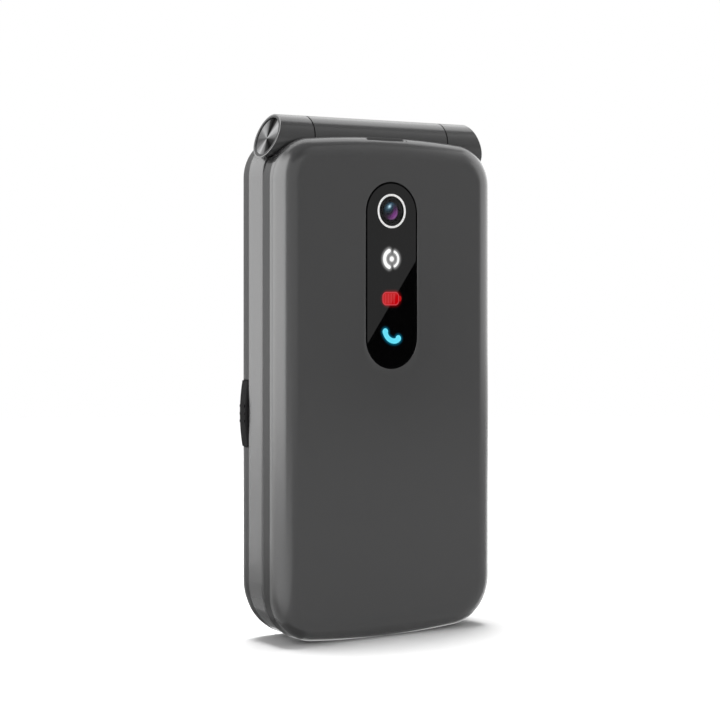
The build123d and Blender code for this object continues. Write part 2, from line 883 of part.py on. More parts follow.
with BuildPart() as base_front_shell:
    add(slab(base_outline(), base_seam, base_split, seam_rounding))
    add(front_hollow.part, mode=Mode.SUBTRACT)
    for side in (-1, 1):
        add(outer_knuckle(side))
    for x, z in base_screws:
        add(peg(boss_radius, x, z, deck_back, base_split))
        add(peg(pilot_hole, x, z, screw_bite - fine_gap, base_split), mode=Mode.SUBTRACT)
    add(slab(panel_shape.sketch, base_seam, deck_front), mode=Mode.SUBTRACT)
    add(slab(key_openings.sketch, deck_front, deck_back), mode=Mode.SUBTRACT)
    add(shared_openings.part, mode=Mode.SUBTRACT)
    for side in (-1, 1):
        cap_gap = end_cap_thickness + fine_gap
        add(end_disc(side, end_cap_radius + fine_gap, cap_gap), mode=Mode.SUBTRACT)
    with BuildSketch(Plane.YZ.offset(outer_start)):
        with Locations((hinge_y, hinge_z)):
            Circle(hinge_head_radius + fine_gap)
            Rectangle(hinge_head_across + 2 * fine_gap, 2 * hinge_head_radius + 2 * fine_gap,
                      mode=Mode.INTERSECT)
    extrude(amount=hinge_head_length, mode=Mode.SUBTRACT)
    add(roll(pivot_radius, pivot_ends[0], -outer_start), mode=Mode.SUBTRACT)
    flex_end = base_flex_x - base_flex_width / 2 - fit_gap
    add(roll(flex_roll_radius + fit_gap, flex_end, -outer_start), mode=Mode.SUBTRACT)
    slot_height = hinge_z - board_high + fit_gap
    add(plate(-outer_start - flex_end, slot_height, (flex_end - outer_start) / 2, hinge_z - slot_height / 2,
              base_flex_back - flex_thickness - fit_gap, base_flex_back + fit_gap), mode=Mode.SUBTRACT)
    add(peg(mic_hole, mic_x, mic_z, base_seam, deck_back), mode=Mode.SUBTRACT)
    split(bisect_by=Plane.XY, keep=Keep.TOP)
finish(base_front_shell.part, "base_front_shell")

# Back shell of the base, with the battery bay, the grille and the screw wells

cover_low = bay_low - cover_foot_lip
cover_high = bay_high + cover_head_lip
cover_z = (cover_low + cover_high) / 2
cover_height = cover_high - cover_low
cover_width = 2 * (bay_half_width + cover_side_lip)
bay_height = bay_high - bay_low
bay_z = (bay_high + bay_low) / 2

with BuildPart() as back_hollow:
    add(slab(base_outline(wall), base_split, back_inside, 0.0, base_rounding - wall))
    add(roll(channel_radius + channel_wall, -case_width, case_width), mode=Mode.SUBTRACT)

with BuildSketch() as grille:
    with Locations((speaker_x, speaker_z)):
        with GridLocations(grille_pitch, grille_pitch, grille_columns, grille_rows):
            Circle(grille_radius)

rocker_low = rocker_y - rocker_width / 2
rocker_high = rocker_y + rocker_width / 2

with BuildPart() as base_back_shell:
    add(slab(base_outline(), base_split, base_back, 0.0, base_rounding))
    add(back_hollow.part, mode=Mode.SUBTRACT)
    ledge = 2 * (ledge_overlap + cover_gap)
    add(plate(cover_width + ledge, cover_height + ledge, 0, cover_z, ledge_front, back_inside, cover_radius))
    add(plate(2 * (bay_half_width + bay_wall), bay_height + 2 * bay_wall, 0, bay_z,
              bay_floor_front, ledge_front))
    for x, z in base_screws:
        add(peg(boss_radius, x, z, base_split, back_inside))
    add(plate(2 * bay_half_width, bay_height, 0, bay_z, bay_floor, base_back), mode=Mode.SUBTRACT)
    add(plate(cover_width + 2 * cover_gap, cover_height + 2 * cover_gap, 0, cover_z,
              back_inside, base_back + base_rounding, cover_radius), mode=Mode.SUBTRACT)
    for x, z in base_screws:
        add(peg(screw_hole, x, z, base_split, base_back), mode=Mode.SUBTRACT)
        add(peg(plug_radius, x, z, screw_seat, base_back), mode=Mode.SUBTRACT)
    add(slab(grille.sketch, back_inside, base_back), mode=Mode.SUBTRACT)
    add(plate(2 * (rocker_depth + rocker_room), rocker_length + 2 * rocker_gap, -half_width, rocker_z,
              rocker_low - rocker_gap, rocker_high + rocker_gap), mode=Mode.SUBTRACT)
    add(shared_openings.part, mode=Mode.SUBTRACT)
    for side in (-1, 1):
        ends = sorted((side * outer_start, side * case_width))
        add(roll(barrel_radius + fine_gap, *ends), mode=Mode.SUBTRACT)
    split(bisect_by=Plane.XY, keep=Keep.TOP)
finish(base_back_shell.part, "base_back_shell")

with BuildPart() as battery_cover:
    add(plate(cover_width, cover_height, 0, cover_z, cover_front, cover_back, cover_radius))
    for side in (-1, 1):
        rib_x = side * (bay_half_width - cover_gap - cover_rib / 2)
        add(plate(cover_rib, cover_height - 2 * cover_rib_inset, rib_x, cover_z, battery_back + fit_gap,
                  cover_front))
    with BuildSketch(Plane.YZ.offset(-thumb_width / 2)):
        with Locations((cover_back + thumb_radius - thumb_depth, cover_high - thumb_drop)):
            Circle(thumb_radius)
    extrude(amount=thumb_width, mode=Mode.SUBTRACT)
finish(battery_cover.part, "battery_cover")

# Main board with its shields, volume switch, microphone and battery contacts

boss_room = boss_radius + 2 * fit_gap
jack_start = half_width - wall - jack_face_gap - jack_length

rocker_inside = rocker_depth - half_width
switch_rib_x = rocker_inside + rocker_flange_thickness + fine_gap
switch_x = switch_rib_x + switch_rib
switch_back = rocker_y + rocker_flange_width / 2
shield_x = half_width - shield_side
right_shield_high = middle_screw_z - right_shield_head
left_shield_high = rocker_z - left_shield_head

with BuildPart() as main_board:
    with BuildSketch(at_depth(board_front)):
        add(base_outline(board_inset))
        with Locations((0, board_high + half_width)):
            Rectangle(case_width, case_width, mode=Mode.SUBTRACT)
        with Locations(*base_screws):
            Circle(boss_room, mode=Mode.SUBTRACT)
        with Locations((jack_start - fit_gap + half_width, jack_z)):
            Rectangle(case_width, jack_body + 2 * fit_gap, mode=Mode.SUBTRACT)
    extrude(amount=-board_thickness)
    for x, low, high in ((shield_x, right_shield_low, right_shield_high),
                         (-shield_x, left_shield_low, left_shield_high)):
        add(plate(shield_width, high - low, x, (low + high) / 2, board_back, board_back + shield_height))
    add(plate(switch_thickness, switch_length, switch_x + switch_thickness / 2, rocker_z,
              board_back, switch_back))
    add(plate(2 * switch_rib, switch_rib_width, switch_x, rocker_z, board_back, switch_back))
    add(plate(mic_size, mic_size, mic_x, mic_z, board_front - mic_height, board_front))
    add(plate(contact_width, contact_depth, 0, contacts_low + contact_depth / 2, bay_floor, battery_back))
    with BuildSketch(at_depth(battery_middle - contact_finger)):
        with Locations((0, battery_high + contact_reach / 2)):
            with GridLocations(contact_pitch, 1, contact_fingers, 1):
                Rectangle(contact_finger, contact_reach)
    extrude(amount=-2 * contact_finger)
finish(main_board.part, "main_board")

with BuildPart() as dome_sheet:
    with BuildSketch(at_depth(sheet_front)):
        with Locations((0, panel_z)):
            Rectangle(panel_width - 2 * dome_sheet_inset, panel_height - 2 * dome_sheet_inset)
        with Locations(*base_screws):
            Circle(boss_room, mode=Mode.SUBTRACT)
    extrude(amount=-dome_sheet_thickness)
    for shape, x, z in keys.values():
        add(peg(dome_radius, x, z, dome_top, sheet_front))
finish(dome_sheet.part, "dome_sheet")

finish(plate(battery_width, battery_height, 0, battery_low + battery_height / 2, bay_floor + fine_gap,
             battery_back, battery_radius), "battery")

with BuildPart() as sim_holder:
    add(plate(sim_width, sim_height, sim_x, sim_z, bay_floor, bay_floor + sim_thickness, sim_corner))
    add(plate(sim_card_width + 2 * fit_gap, sim_height, sim_x, sim_z - sim_lip, sim_card_front - fine_gap,
              sim_card_back + fine_gap), mode=Mode.SUBTRACT)
    add(plate(sim_card_width, sim_card_height, sim_x, sim_z - sim_lip, sim_card_front, sim_card_back))
finish(sim_holder.part, "sim_holder")

with BuildPart() as loudspeaker:
    add(plate(speaker_width, speaker_height, speaker_x, speaker_z,
              speaker_front, speaker_back, speaker_corner))
finish(loudspeaker.part, "loudspeaker")

can_ends = (motor_left, motor_right)

with BuildPart() as vibration_motor:
    add(plate(motor_length - 2 * cradle_inset, 2 * (motor_radius + cradle_wall),
              motor_right - motor_length / 2, motor_z, board_back, motor_y))
    add(roll(motor_radius + fine_gap, *can_ends, motor_y, motor_z), mode=Mode.SUBTRACT)
    add(roll(motor_radius, *can_ends, motor_y, motor_z))
    add(roll(motor_shaft + running_gap, can_ends[0], can_ends[0] + motor_length / 2, motor_y, motor_z),
        mode=Mode.SUBTRACT)
finish(vibration_motor.part, "vibration_motor")

weight_end = can_ends[0] - weight_gap

with BuildPart() as motor_weight:
    with BuildSketch(Plane.YZ.offset(weight_end - weight_length)):
        with Locations((motor_y, motor_z)):
            Circle(weight_radius)
            with Locations((0, weight_radius / 2)):
                Rectangle(2 * weight_radius, weight_radius, mode=Mode.SUBTRACT)
            Circle(2 * motor_shaft)
    extrude(amount=weight_length)
    add(roll(motor_shaft, weight_end, can_ends[0] + motor_length / 2 - running_gap, motor_y, motor_z))
finish(motor_weight.part, "motor_weight")

with BuildPart() as headphone_jack:
    add(plate(jack_length, jack_body, jack_start + jack_length / 2, jack_z, jack_y - jack_body / 2,
              jack_y + jack_body / 2))
    add(roll(jack_bore, jack_start + wall, case_width, jack_y, jack_z), mode=Mode.SUBTRACT)
finish(headphone_jack.part, "headphone_jack")

with BuildPart() as charging_port:
    with BuildSketch(Plane.XY.offset(port_low)):
        with Locations((0, port_y)):
            SlotOverall(port_width, port_thickness)
    extrude(amount=port_depth)
    with BuildSketch(Plane.XY.offset(port_low)):
        with Locations((0, port_y)):
            SlotOverall(port_width - 2 * port_wall, port_thickness - 2 * port_wall)
            Rectangle(port_tongue_width, port_tongue_thickness, mode=Mode.SUBTRACT)
    extrude(amount=port_depth - port_wall, mode=Mode.SUBTRACT)
finish(charging_port.part, "charging_port")

finish(plate(antenna_width, antenna_height, antenna_x, antenna_z, board_back, board_back + antenna_thickness),
       "antenna")

with BuildPart() as base_screw_set:
    for x, z in base_screws:
        add(peg(screw_head, x, z, screw_seat, screw_seat + screw_head_height))
        add(peg(screw_shank, x, z, screw_bite, screw_seat))
finish(base_screw_set.part, "base_screws")

with BuildPart() as screw_plugs:
    for x, z in base_screws:
        add(peg(plug_radius - fine_gap, x, z, plug_back - plug_thickness, plug_back))
finish(screw_plugs.part, "screw_plugs")

# Volume rocker

rocker_face = -half_width
rocker_half = rocker_length / 2

with BuildPart() as volume_rocker:
    with BuildSketch(at_depth(rocker_low)):
        with BuildLine():
            ThreePointArc((rocker_face, rocker_z - rocker_half), (rocker_face - rocker_rise, rocker_z),
                          (rocker_face, rocker_z + rocker_half))
            Polyline((rocker_face, rocker_z + rocker_half), (rocker_inside, rocker_z + rocker_half),
                     (rocker_inside, rocker_z - rocker_half), (rocker_face, rocker_z - rocker_half))
        make_face()
    extrude(amount=-rocker_width)
    fillet(volume_rocker.edges().filter_by(GeomType.CIRCLE), rocker_edge)
    add(plate(rocker_flange_thickness, rocker_length + 2 * rocker_flange,
              rocker_inside + rocker_flange_thickness / 2, rocker_z,
              rocker_y - rocker_flange_width / 2, rocker_y + rocker_flange_width / 2))
    for step in (-1, 0, 1):
        z = rocker_z + step * rocker_ridge_pitch
        add(plate(2 * rocker_ridge_height, rocker_ridge_width, rocker_face - rocker_rise, z,
                  rocker_low + rocker_edge, rocker_high - rocker_edge))
finish(volume_rocker.part, "volume_rocker")
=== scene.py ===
import math

import bmesh
import bpy
import numpy as np
from bpy.props import FloatProperty, FloatVectorProperty, PointerProperty
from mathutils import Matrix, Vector


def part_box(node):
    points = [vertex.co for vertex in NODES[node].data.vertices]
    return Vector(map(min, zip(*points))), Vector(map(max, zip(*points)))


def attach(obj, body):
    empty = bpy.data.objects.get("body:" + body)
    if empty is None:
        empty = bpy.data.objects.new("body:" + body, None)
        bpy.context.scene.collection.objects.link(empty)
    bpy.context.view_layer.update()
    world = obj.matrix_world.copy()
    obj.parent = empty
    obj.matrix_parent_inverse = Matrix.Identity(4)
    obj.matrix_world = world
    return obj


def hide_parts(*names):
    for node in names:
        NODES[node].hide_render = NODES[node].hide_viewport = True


bl_info = {
    "name": "Flip phone",
    "version": (1, 0, 0),
    "blender": (4, 5, 0),
    "location": "3D View > Sidebar > Phone",
    "description": "Dresses a closed flip phone and sets it on a pale studio floor",
    "category": "Object",
}

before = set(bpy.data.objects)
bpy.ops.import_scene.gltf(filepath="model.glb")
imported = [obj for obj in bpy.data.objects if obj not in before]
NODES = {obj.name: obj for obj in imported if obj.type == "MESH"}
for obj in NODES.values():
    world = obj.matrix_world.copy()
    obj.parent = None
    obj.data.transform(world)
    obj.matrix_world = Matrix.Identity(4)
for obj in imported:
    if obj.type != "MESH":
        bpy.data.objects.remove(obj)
MM = 0.001
QUARTER = math.pi / 2
WELD = 2e-7  # Points nearer to each other than this are one, in metres.


def low(node):
    """Lowest corner of a carried-over node."""
    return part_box(node)[0]


def high(node):
    """Highest corner of a carried-over node."""
    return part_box(node)[1]


def middle(node):
    """Centre of a carried-over node's box."""
    return (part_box(node)[0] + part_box(node)[1]) / 2


def length(name, default, description):
    """Size property in metres, given in millimetres."""
    return FloatProperty(name=name, description=description, default=default * MM, unit="LENGTH",
                         subtype="DISTANCE", precision=5)


def colour(name, default, description):
    """Linear colour property."""
    return FloatVectorProperty(name=name, description=description, default=default, size=3, min=0.0,
                               max=1.0, subtype="COLOR")


def level(name, default, description, top=100.0):
    """Plain number property."""
    return FloatProperty(name=name, description=description, default=default, min=0.0, max=top,
                         subtype="UNSIGNED")


class PhoneSizes(bpy.types.PropertyGroup):
    """Sizes of the pieces that this file makes."""
    case_width: length("Case width", 54.0, "Width of both halves")
    lid_height: length("Lid height", 103.5, "Height of the lid's outline")
    head_radius: length("Head corner", 8.8, "Radius of the lid's upper corners")
    head_crown: length("Head crown", 215.0, "Radius of the lid's arched upper edge")
    foot_radius: length("Foot corner", 10.0, "Radius of the lid's lower corners")
    foot_crown: length("Foot crown", 229.0, "Radius of the lid's arched lower edge")
    foot_flat: length("Foot flat", 0.15, "How much of the arch the standing surface cuts off")
    rim_reach: length("Rim reach", 4.7, "How far the rounding of the lid's rim reaches over its front")
    rim_depth: length("Rim depth", 3.3, "How deep the rounding of the lid's rim is")
    band_front: length("Band front", -4.3, "Depth at which the lid's unpainted band starts")
    paint_foot: length("Paint foot", 98.5, "Height at which the paint of the barrel's middle starts")
    rim_softness: length("Rim softness", 0.06, "Radius of the small edges round the window")
    lip_top: length("Lip top", 98.0, "Height at which the seam's lip ends")
    lip_inset: length("Lip inset", 0.12, "How far the lip stands back from the sides")
    lip_front: length("Lip start", -1.55, "Depth of the lid's back rim, where the lip starts")
    lip_height: length("Lip height", 0.24, "How far the lip reaches towards the base")
    lid_wall: length("Lid wall", 1.3, "Wall of the lid cover")
    channel_radius: length("Channel", 4.85, "Radius of the hollow that the barrel turns in")
    axis_y: length("Hinge depth", -0.7, "Depth of the hinge axis")
    axis_z: length("Hinge height", 103.05, "Height of the hinge axis")
    groove_width: length("Groove width", 10.1, "Width of the groove in the lid's upper edge")
    groove_thickness: length("Groove thickness", 1.2, "Thickness of that groove")
    groove_floor: length("Groove floor", 102.7, "Height of the groove's floor")
    groove_y: length("Groove depth", -6.6, "Depth of the groove's middle")
    window_radius: length("Window radius", 6.5, "Half of the window's width")
    window_reach: length("Window reach", 12.85, "From the window's middle to the centre of a round end")
    window_z: length("Window height", 74.8, "Height of the window's middle")
    window_gap: length("Window gap", 0.03, "Gap between the window's bezel and the shell")
    bezel_width: length("Bezel width", 0.36, "Width of the matte bezel round the window's glass")
    ring_outer: length("Ring outside", 3.54, "Outer radius of the camera ring")
    ring_inner: length("Ring inside", 3.11, "Inner radius of the camera ring")
    element_radius: length("Front element", 1.3, "Radius of the camera's front element")
    element_ball: length("Element ball", 2.5, "Radius of the sphere that the front element is cut from")
    funnel_radius: length("Funnel", 1.8, "Outer radius of the coated funnel round the element")
    sign_rise: length("Sign rise", 0.02, "How far the lit signs stand in front of the window")
    cap_reach: length("Cap reach", 25.5, "From the phone's middle to a cap, at the hinge axis")
    cap_radius: length("Cap radius", 4.3, "Outer radius of the caps' rims")
    cap_face: length("Cap face", 3.75, "Radius of the spun face inside a cap's rim")
    turning_drop: length("Turning drop", 0.5, "How far a cap's turning centre lies below the hinge axis")
    turning_back: length("Turning back", 0.25, "How far it lies behind the hinge axis")
    key_softness: length("Key edge", 0.28, "Radius round the top of a key")
    key_crown: length("Key crown", 0.1, "How much higher a key's middle is than its edge")
    legend_rise: length("Print rise", 0.015, "How far the print stands on a key")
    digit_size: length("Digit size", 5.2, "Height of the printed digits")


class PhoneColours(bpy.types.PropertyGroup):
    """Colours of the finishes."""
    case: colour("Case", (0.053, 0.053, 0.0535), "Painted shells with a satin gloss")
    trim: colour("Trim", (0.036, 0.036, 0.0365), "Moulded shells without paint")
    window: colour("Window", (0.0022, 0.0022, 0.0024), "Black glass of the lid")
    display: colour("Display", (0.012, 0.013, 0.015), "Switched-off display behind its glass")
    ring: colour("Ring", (0.90, 0.89, 0.875), "Painted ring round the camera")
    cap: colour("Cap", (0.23, 0.23, 0.232), "Spun metal of the end caps")
    key: colour("Key", (0.030, 0.030, 0.033), "Satin keys")
    panel: colour("Panel", (0.011, 0.011, 0.012), "Glossy plate round the keys")
    print: colour("Print", (0.78, 0.80, 0.82), "Print on the keys")
    call: colour("Call", (0.06, 0.55, 0.16), "Print on the call key")
    end: colour("End", (0.70, 0.045, 0.04), "Print on the end key")
    # The element and funnel colours are the colours of the painted highlight on the lens, not of its
    # coatings.
    element: colour("Element", (0.03, 0.20, 0.34), "Coating of the camera's front element")
    funnel: colour("Funnel", (0.36, 0.06, 0.42), "Coating of the funnel round that element")
    torch: colour("Torch sign", (1.0, 1.0, 1.0), "Lit torch sign")
    charge: colour("Battery sign", (0.54, 0.001, 0.004), "Field of the lit battery sign")
    charge_bar: colour("Battery bars", (0.60, 0.014, 0.022), "Bars of the lit battery sign")
    charge_edge: colour("Battery edge", (0.62, 0.036, 0.05), "Outline of the lit battery sign")
    handset: colour("Handset sign", (0.14, 0.80, 1.0), "Lit handset sign")
    # Colour of the glow painted in the glass round the handset sign.
    halo: colour("Handset halo", (0.0, 0.32, 0.55), "Light that the handset sign spills")
    steel: colour("Steel", (0.55, 0.55, 0.56), "Screws, pins and sockets")
    rocker: colour("Rocker", (0.012, 0.012, 0.0122), "Volume rocker")
    rubber: colour("Rubber", (0.028, 0.028, 0.029), "Plugs and bumpers")
    board: colour("Board", (0.015, 0.10, 0.045), "Solder mask of the boards")
    film: colour("Film", (0.42, 0.20, 0.045), "Flat cables")
    cell: colour("Cell", (0.09, 0.095, 0.11), "Battery wrapping")


class StudioLevels(bpy.types.PropertyGroup):
    """Lights, floor and camera of the stage, and the glow painted onto the camera ring."""
    fill: level("Fill", 0.48, "World light on matte surfaces")
    side_power: level("Side light", 2.0, "Power of the light at the left, in watts")
    top_power: level("Top light", 14.0, "Power of the light overhead, in watts")
    left_box: level("Left softbox", 5.5, "Brightness of the softbox that the lid's left rim mirrors")
    flank_box: level("Flank softbox", 2.8, "Brightness of the softbox that the left side mirrors")
    right_box: level("Right softbox", 2.1, "Brightness of the softbox that the right edge mirrors")
    top_box: level("Top softbox", 1.9, "Brightness of the softbox that the barrel mirrors")
    floor_gloss: level("Floor in gloss", 0.2, "What the floor adds to its light where gloss mirrors it")
    flag: level("Floor flag", 0.72, "Brightness of the flag on the floor that the lid's foot mirrors")
    right_flag: level("Right flag", 0.7, "Brightness of the flag that the outermost right edge mirrors")
    side_flag: level("Side flag", 0.8, "Brightness of the floor's flag that the left side's foot mirrors")
    corner_flag: level("Corner flag", 0.3, "Brightness of the flag under the phone's left corner")
    foot: level("Foot strip", 1.2, "Brightness of the strip under the phone that its lowest edge mirrors")
    card: level("Front card", 0.52, "Brightness of the card that the window mirrors")
    # Glow painted onto the camera ring, which is no lamp, so that it looks brighter than its lit paint.
    ring_painted_glow: level("Ring glow", 0.27, "Light that the camera ring gives of its own", 1.0)
    lens_mm: level("Lens", 96.357, "Focal length on a 36 mm frame", 1000.0)


# Meshes


def quads(rows, columns, round_rows=False, round_columns=False):
    """Faces of a grid of points kept row by row. A round direction joins its last line to its first."""
    i = np.arange(rows if round_rows else rows - 1)
    j = np.arange(columns if round_columns else columns - 1)
    a, b = np.meshgrid(i, j, indexing="ij")
    c, d = (a + 1) % rows, (b + 1) % columns
    corners = [a * columns + b, c * columns + b, c * columns + d, a * columns + d]
    return np.stack(corners, -1).reshape(-1, 4).tolist()


def add_object(name, mesh, material):
    """Object of a mesh in one material, which may be given by its short name."""
    mesh.materials.append(finish_of(material) if isinstance(material, str) else material)
    piece = bpy.data.objects.new(name, mesh)
    bpy.context.scene.collection.objects.link(piece)
    return piece


def make_piece(name, points, faces, material, sharp=35.0, uv=None, attribute=None):
    """Mesh object from points and faces, its doubles merged, its faces turned outwards."""
    mesh = bpy.data.meshes.new(name)
    mesh.from_pydata(points.reshape(-1, 3).tolist(), [], faces)
    if uv is not None:
        layer = mesh.uv_layers.new(name="UVMap")
        corners = np.zeros(len(mesh.loops), np.int32)
        mesh.loops.foreach_get("vertex_index", corners)
        layer.data.foreach_set("uv", uv.reshape(-1, 2)[corners].astype(np.float32).ravel())
    if attribute is not None:
        data = mesh.attributes.new(attribute[0], "FLOAT_COLOR", "POINT")
        data.data.foreach_set("color", attribute[1].astype(np.float32).ravel())
    shape = bmesh.new()
    shape.from_mesh(mesh)
    bmesh.ops.remove_doubles(shape, verts=shape.verts, dist=WELD)
    bmesh.ops.dissolve_degenerate(shape, edges=shape.edges, dist=WELD / 2)
    bmesh.ops.recalc_face_normals(shape, faces=shape.faces)
    shape.to_mesh(mesh)
    shape.free()
    mesh.shade_smooth()
    mesh.set_sharp_from_angle(angle=math.radians(sharp))
    return add_object(name, mesh, material)


def grid_piece(name, grid, material, closed=(True, True), ends=False, **details):
    """Piece from a grid of points. Each direction of the grid is closed or open, and with ends the first
    and the last row are filled with one face each."""
    rows, columns = grid.shape[:2]
    faces = quads(rows, columns, *closed)
    if ends:
        first = list(range(columns))
        faces += [first, [(rows - 1) * columns + k for k in reversed(first)]]
    return make_piece(name, grid, faces, material, **details)


def settle(piece, body, slot, *nodes):
    """Piece rides on its body and stands for the nodes that it replaces; its slot is not used."""
    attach(piece, body)
    if nodes:
        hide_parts(*nodes)


def dress(finish, *names):
    """Carried-over nodes get a new finish and keep their mesh."""
    for name in names:
        NODES[name].data.materials.clear()
        NODES[name].data.materials.append(finish_of(finish))


def join(name, pieces):
    """One object from several."""
    keep = pieces[0]
    with bpy.context.temp_override(active_object=keep, object=keep, selected_objects=pieces,
                                   selected_editable_objects=pieces):
        bpy.ops.object.join()
    keep.name = keep.data.name = name
    return keep


def arc_of(radius, start, end, count, x=0.0, z=0.0):
    """Points of an arc between two angles in degrees, and their unit vectors from its centre."""
    angles = np.radians(np.linspace(start, end, count))
    unit = np.stack([np.cos(angles), np.sin(angles)], 1)
    return radius * unit + np.array([x, z]), unit


def case_outline(s):
    """Outline of the lid as points and outward normals, anticlockwise from the middle of its foot.
    Each arc is its centre plus radius times the unit vector of an angle that runs evenly, and the normal
    is that unit vector; the straight side runs evenly between two arcs; the left half mirrors the right."""
    half, top, foot = s.case_width / 2, s.lid_height, -s.foot_flat
    head_rise = math.sqrt((s.head_crown - s.head_radius) ** 2 - (half - s.head_radius) ** 2)
    foot_rise = math.sqrt((s.foot_crown - s.foot_radius) ** 2 - (half - s.foot_radius) ** 2)
    head_turn = math.degrees(math.atan2(head_rise, half - s.head_radius))
    foot_turn = math.degrees(math.atan2(foot_rise, half - s.foot_radius))
    head_z, foot_z = top - s.head_crown + head_rise, foot + s.foot_crown - foot_rise
    # The lines stand closer together across the groove.
    groove = 90 - math.degrees(math.asin(0.5 * s.groove_width / s.head_crown) * 1.1)
    pieces = [
        arc_of(s.foot_crown, -90, -foot_turn, 30, 0, foot + s.foot_crown),
        [a[1:] for a in arc_of(s.foot_radius, -foot_turn, 0, 36, half - s.foot_radius, foot_z)],
        (np.stack([np.full(40, half), np.linspace(foot_z, head_z, 42)[1:-1]], 1),
         np.tile([1.0, 0.0], (40, 1))),
        arc_of(s.head_radius, 0, head_turn, 40, half - s.head_radius, head_z),
        [a[1:] for a in arc_of(s.head_crown, head_turn, groove, 24, 0, top - s.head_crown)],
        [a[1:] for a in arc_of(s.head_crown, groove, 90, 60, 0, top - s.head_crown)],
    ]
    mirror = np.array([-1.0, 1.0])
    right = (np.concatenate([piece[k] for piece in pieces]) for k in (0, 1))
    return tuple(np.concatenate([line, line[-2:0:-1] * mirror]) for line in right)


def rounded_loop(width, height, radius, x=0.0, z=0.0, arc=14, side=8):
    """Rectangle with round corners, as points and outward normals: each corner is a quarter turn about
    its centre, and each side runs evenly between two corners."""
    hx, hz = width / 2 - radius, height / 2 - radius
    corners = [arc_of(radius, turn, turn + 90, arc, cx, cz)
               for cx, cz, turn in ((hx, -hz, -90), (hx, hz, 0), (-hx, hz, 90), (-hx, -hz, 180))]
    share = np.linspace(0, 1, side + 2)[1:-1, None]
    points, normals = [], []
    for (corner, unit), (following, _) in zip(corners, corners[1:] + corners[:1]):
        points += [corner, corner[-1] + share * (following[0] - corner[-1])]
        normals += [unit, np.tile(unit[-1], (side, 1))]
    return np.concatenate(points) + np.array([x, z]), np.concatenate(normals)


def circle_loop(radius, x=0.0, z=0.0, count=72):
    """Circle as points and outward normals."""
    points, unit = arc_of(radius, 0, 360, count + 1, x, z)
    return points[:-1], unit[:-1]


def upright(flat, depth):
    """Points in space from pairs of x and z and their depths."""
    return np.stack([flat[..., 0], np.broadcast_to(depth, flat.shape[:-1]), flat[..., 1]], -1)


def rounding(e, depth, start, end, count, inset=0.0, way=1):
    """Section of a round edge, a turn of radius e between two angles in degrees: inset plus or minus e
    times one less the cosine, and depth plus e times one less the sine."""
    return [(inset + way * e * (1 - math.cos(a)), depth + e * (1 - math.sin(a)))
            for a in np.radians(np.linspace(start, end, count))]


def loop_surface(loop, profile):
    """Profile carried round a loop: point = loop point less inset times normal, at the profile's depth.
    The result is a grid of loop by profile."""
    points, normals = loop
    inset, depth = np.array(profile, float).T
    return upright(points[:, None] - inset[None, :, None] * normals[:, None], depth)


def filled_piece(name, loop, profile, material, hub=None):
    """Piece whose profile is carried round a loop and closed to a hub at its first and its last depth."""
    hub = loop[0].mean(0) if hub is None else hub
    first, last = (np.tile([hub[0], profile[k][1], hub[1]], (len(loop[0]), 1, 1)) for k in (0, -1))
    grid = np.concatenate([first, loop_surface(loop, profile), last], 1)
    return grid_piece(name, grid, material, (True, False))


def stadium_edge(direction, radius, reach):
    """Distance from a stadium's middle to its edge along unit directions: half the width over the
    sideways part, or, at a round end, the far crossing of the ray and the end's circle."""
    dx, dz = np.abs(direction[:, 0]), np.abs(direction[:, 1])
    side = radius / np.maximum(dx, 1e-9)
    along = dz * reach
    end = along + np.sqrt(np.maximum(along ** 2 - reach ** 2 + radius ** 2, 0.0))
    return np.where(side * dz <= reach, side, end)


# Section of a stroke: places across in half widths, and depth from its front at 0 to its back at 1.
STROKE_ACROSS = np.array([-1.0, -0.94, -0.5, 0.0, 0.5, 0.94, 1.0, 1.0, -1.0])
STROKE_DEPTH = np.array([0.25, 0.04, 0.01, 0.0, 0.01, 0.04, 0.25, 1.0, 1.0])


def stroke(name, path, half_width, front, back, material, closed=False):
    """Flat stroke along a path of x and z, with round ends that reach half a width past the path: the
    point across is the path point plus its normal times the half width, which narrows towards the ends
    as a half circle does; the front is highest in the middle."""
    path = np.array(path, float)
    width = np.broadcast_to(np.array(half_width, float), len(path)).copy()
    if closed:
        tangent = np.roll(path, -1, 0) - np.roll(path, 1, 0)
    else:
        first, last = path[0] - path[1], path[-1] - path[-2]
        path = np.concatenate([path[:1] + first / np.hypot(*first) * width[0], path,
                               path[-1:] + last / np.hypot(*last) * width[-1]])
        width = np.concatenate([width[:1], width, width[-1:]])
        tangent = np.gradient(path, axis=0)
        run = distances(path)
        first, last, total = width[0], width[-1], run[-1]
        samples = np.concatenate([first * (1 - np.cos(np.linspace(0, QUARTER, 10))),
                                  np.linspace(first, total - last, 40)[1:-1],
                                  total - last * (1 - np.cos(np.linspace(QUARTER, 0, 10)))])
        path, tangent = (places_at(samples, run, line) for line in (path, tangent))
        ease = np.clip(np.minimum(samples / first, (total - samples) / last), 0, 1)
        width = np.interp(samples, run, width) * np.sqrt(np.maximum(1 - (1 - ease) ** 2, 1e-4))
    tangent = tangent / np.linalg.norm(tangent, axis=1)[:, None]
    normal = np.stack([-tangent[:, 1], tangent[:, 0]], 1)
    flat = path[:, None, :] + STROKE_ACROSS[None, :, None] * (width[:, None] * normal)[:, None, :]
    grid = upright(flat, front + STROKE_DEPTH * (back - front))
    return grid_piece(name, grid, material, (closed, True), ends=not closed)


def distances(path):
    """Distance along a path at each of its points."""
    return np.concatenate([[0], np.cumsum(np.hypot(*np.diff(path, axis=0).T))])


def places_at(samples, run, path):
    """Places on a path at some distances along it."""
    return np.stack([np.interp(samples, run, path[:, k]) for k in (0, 1)], 1)


# Finishes


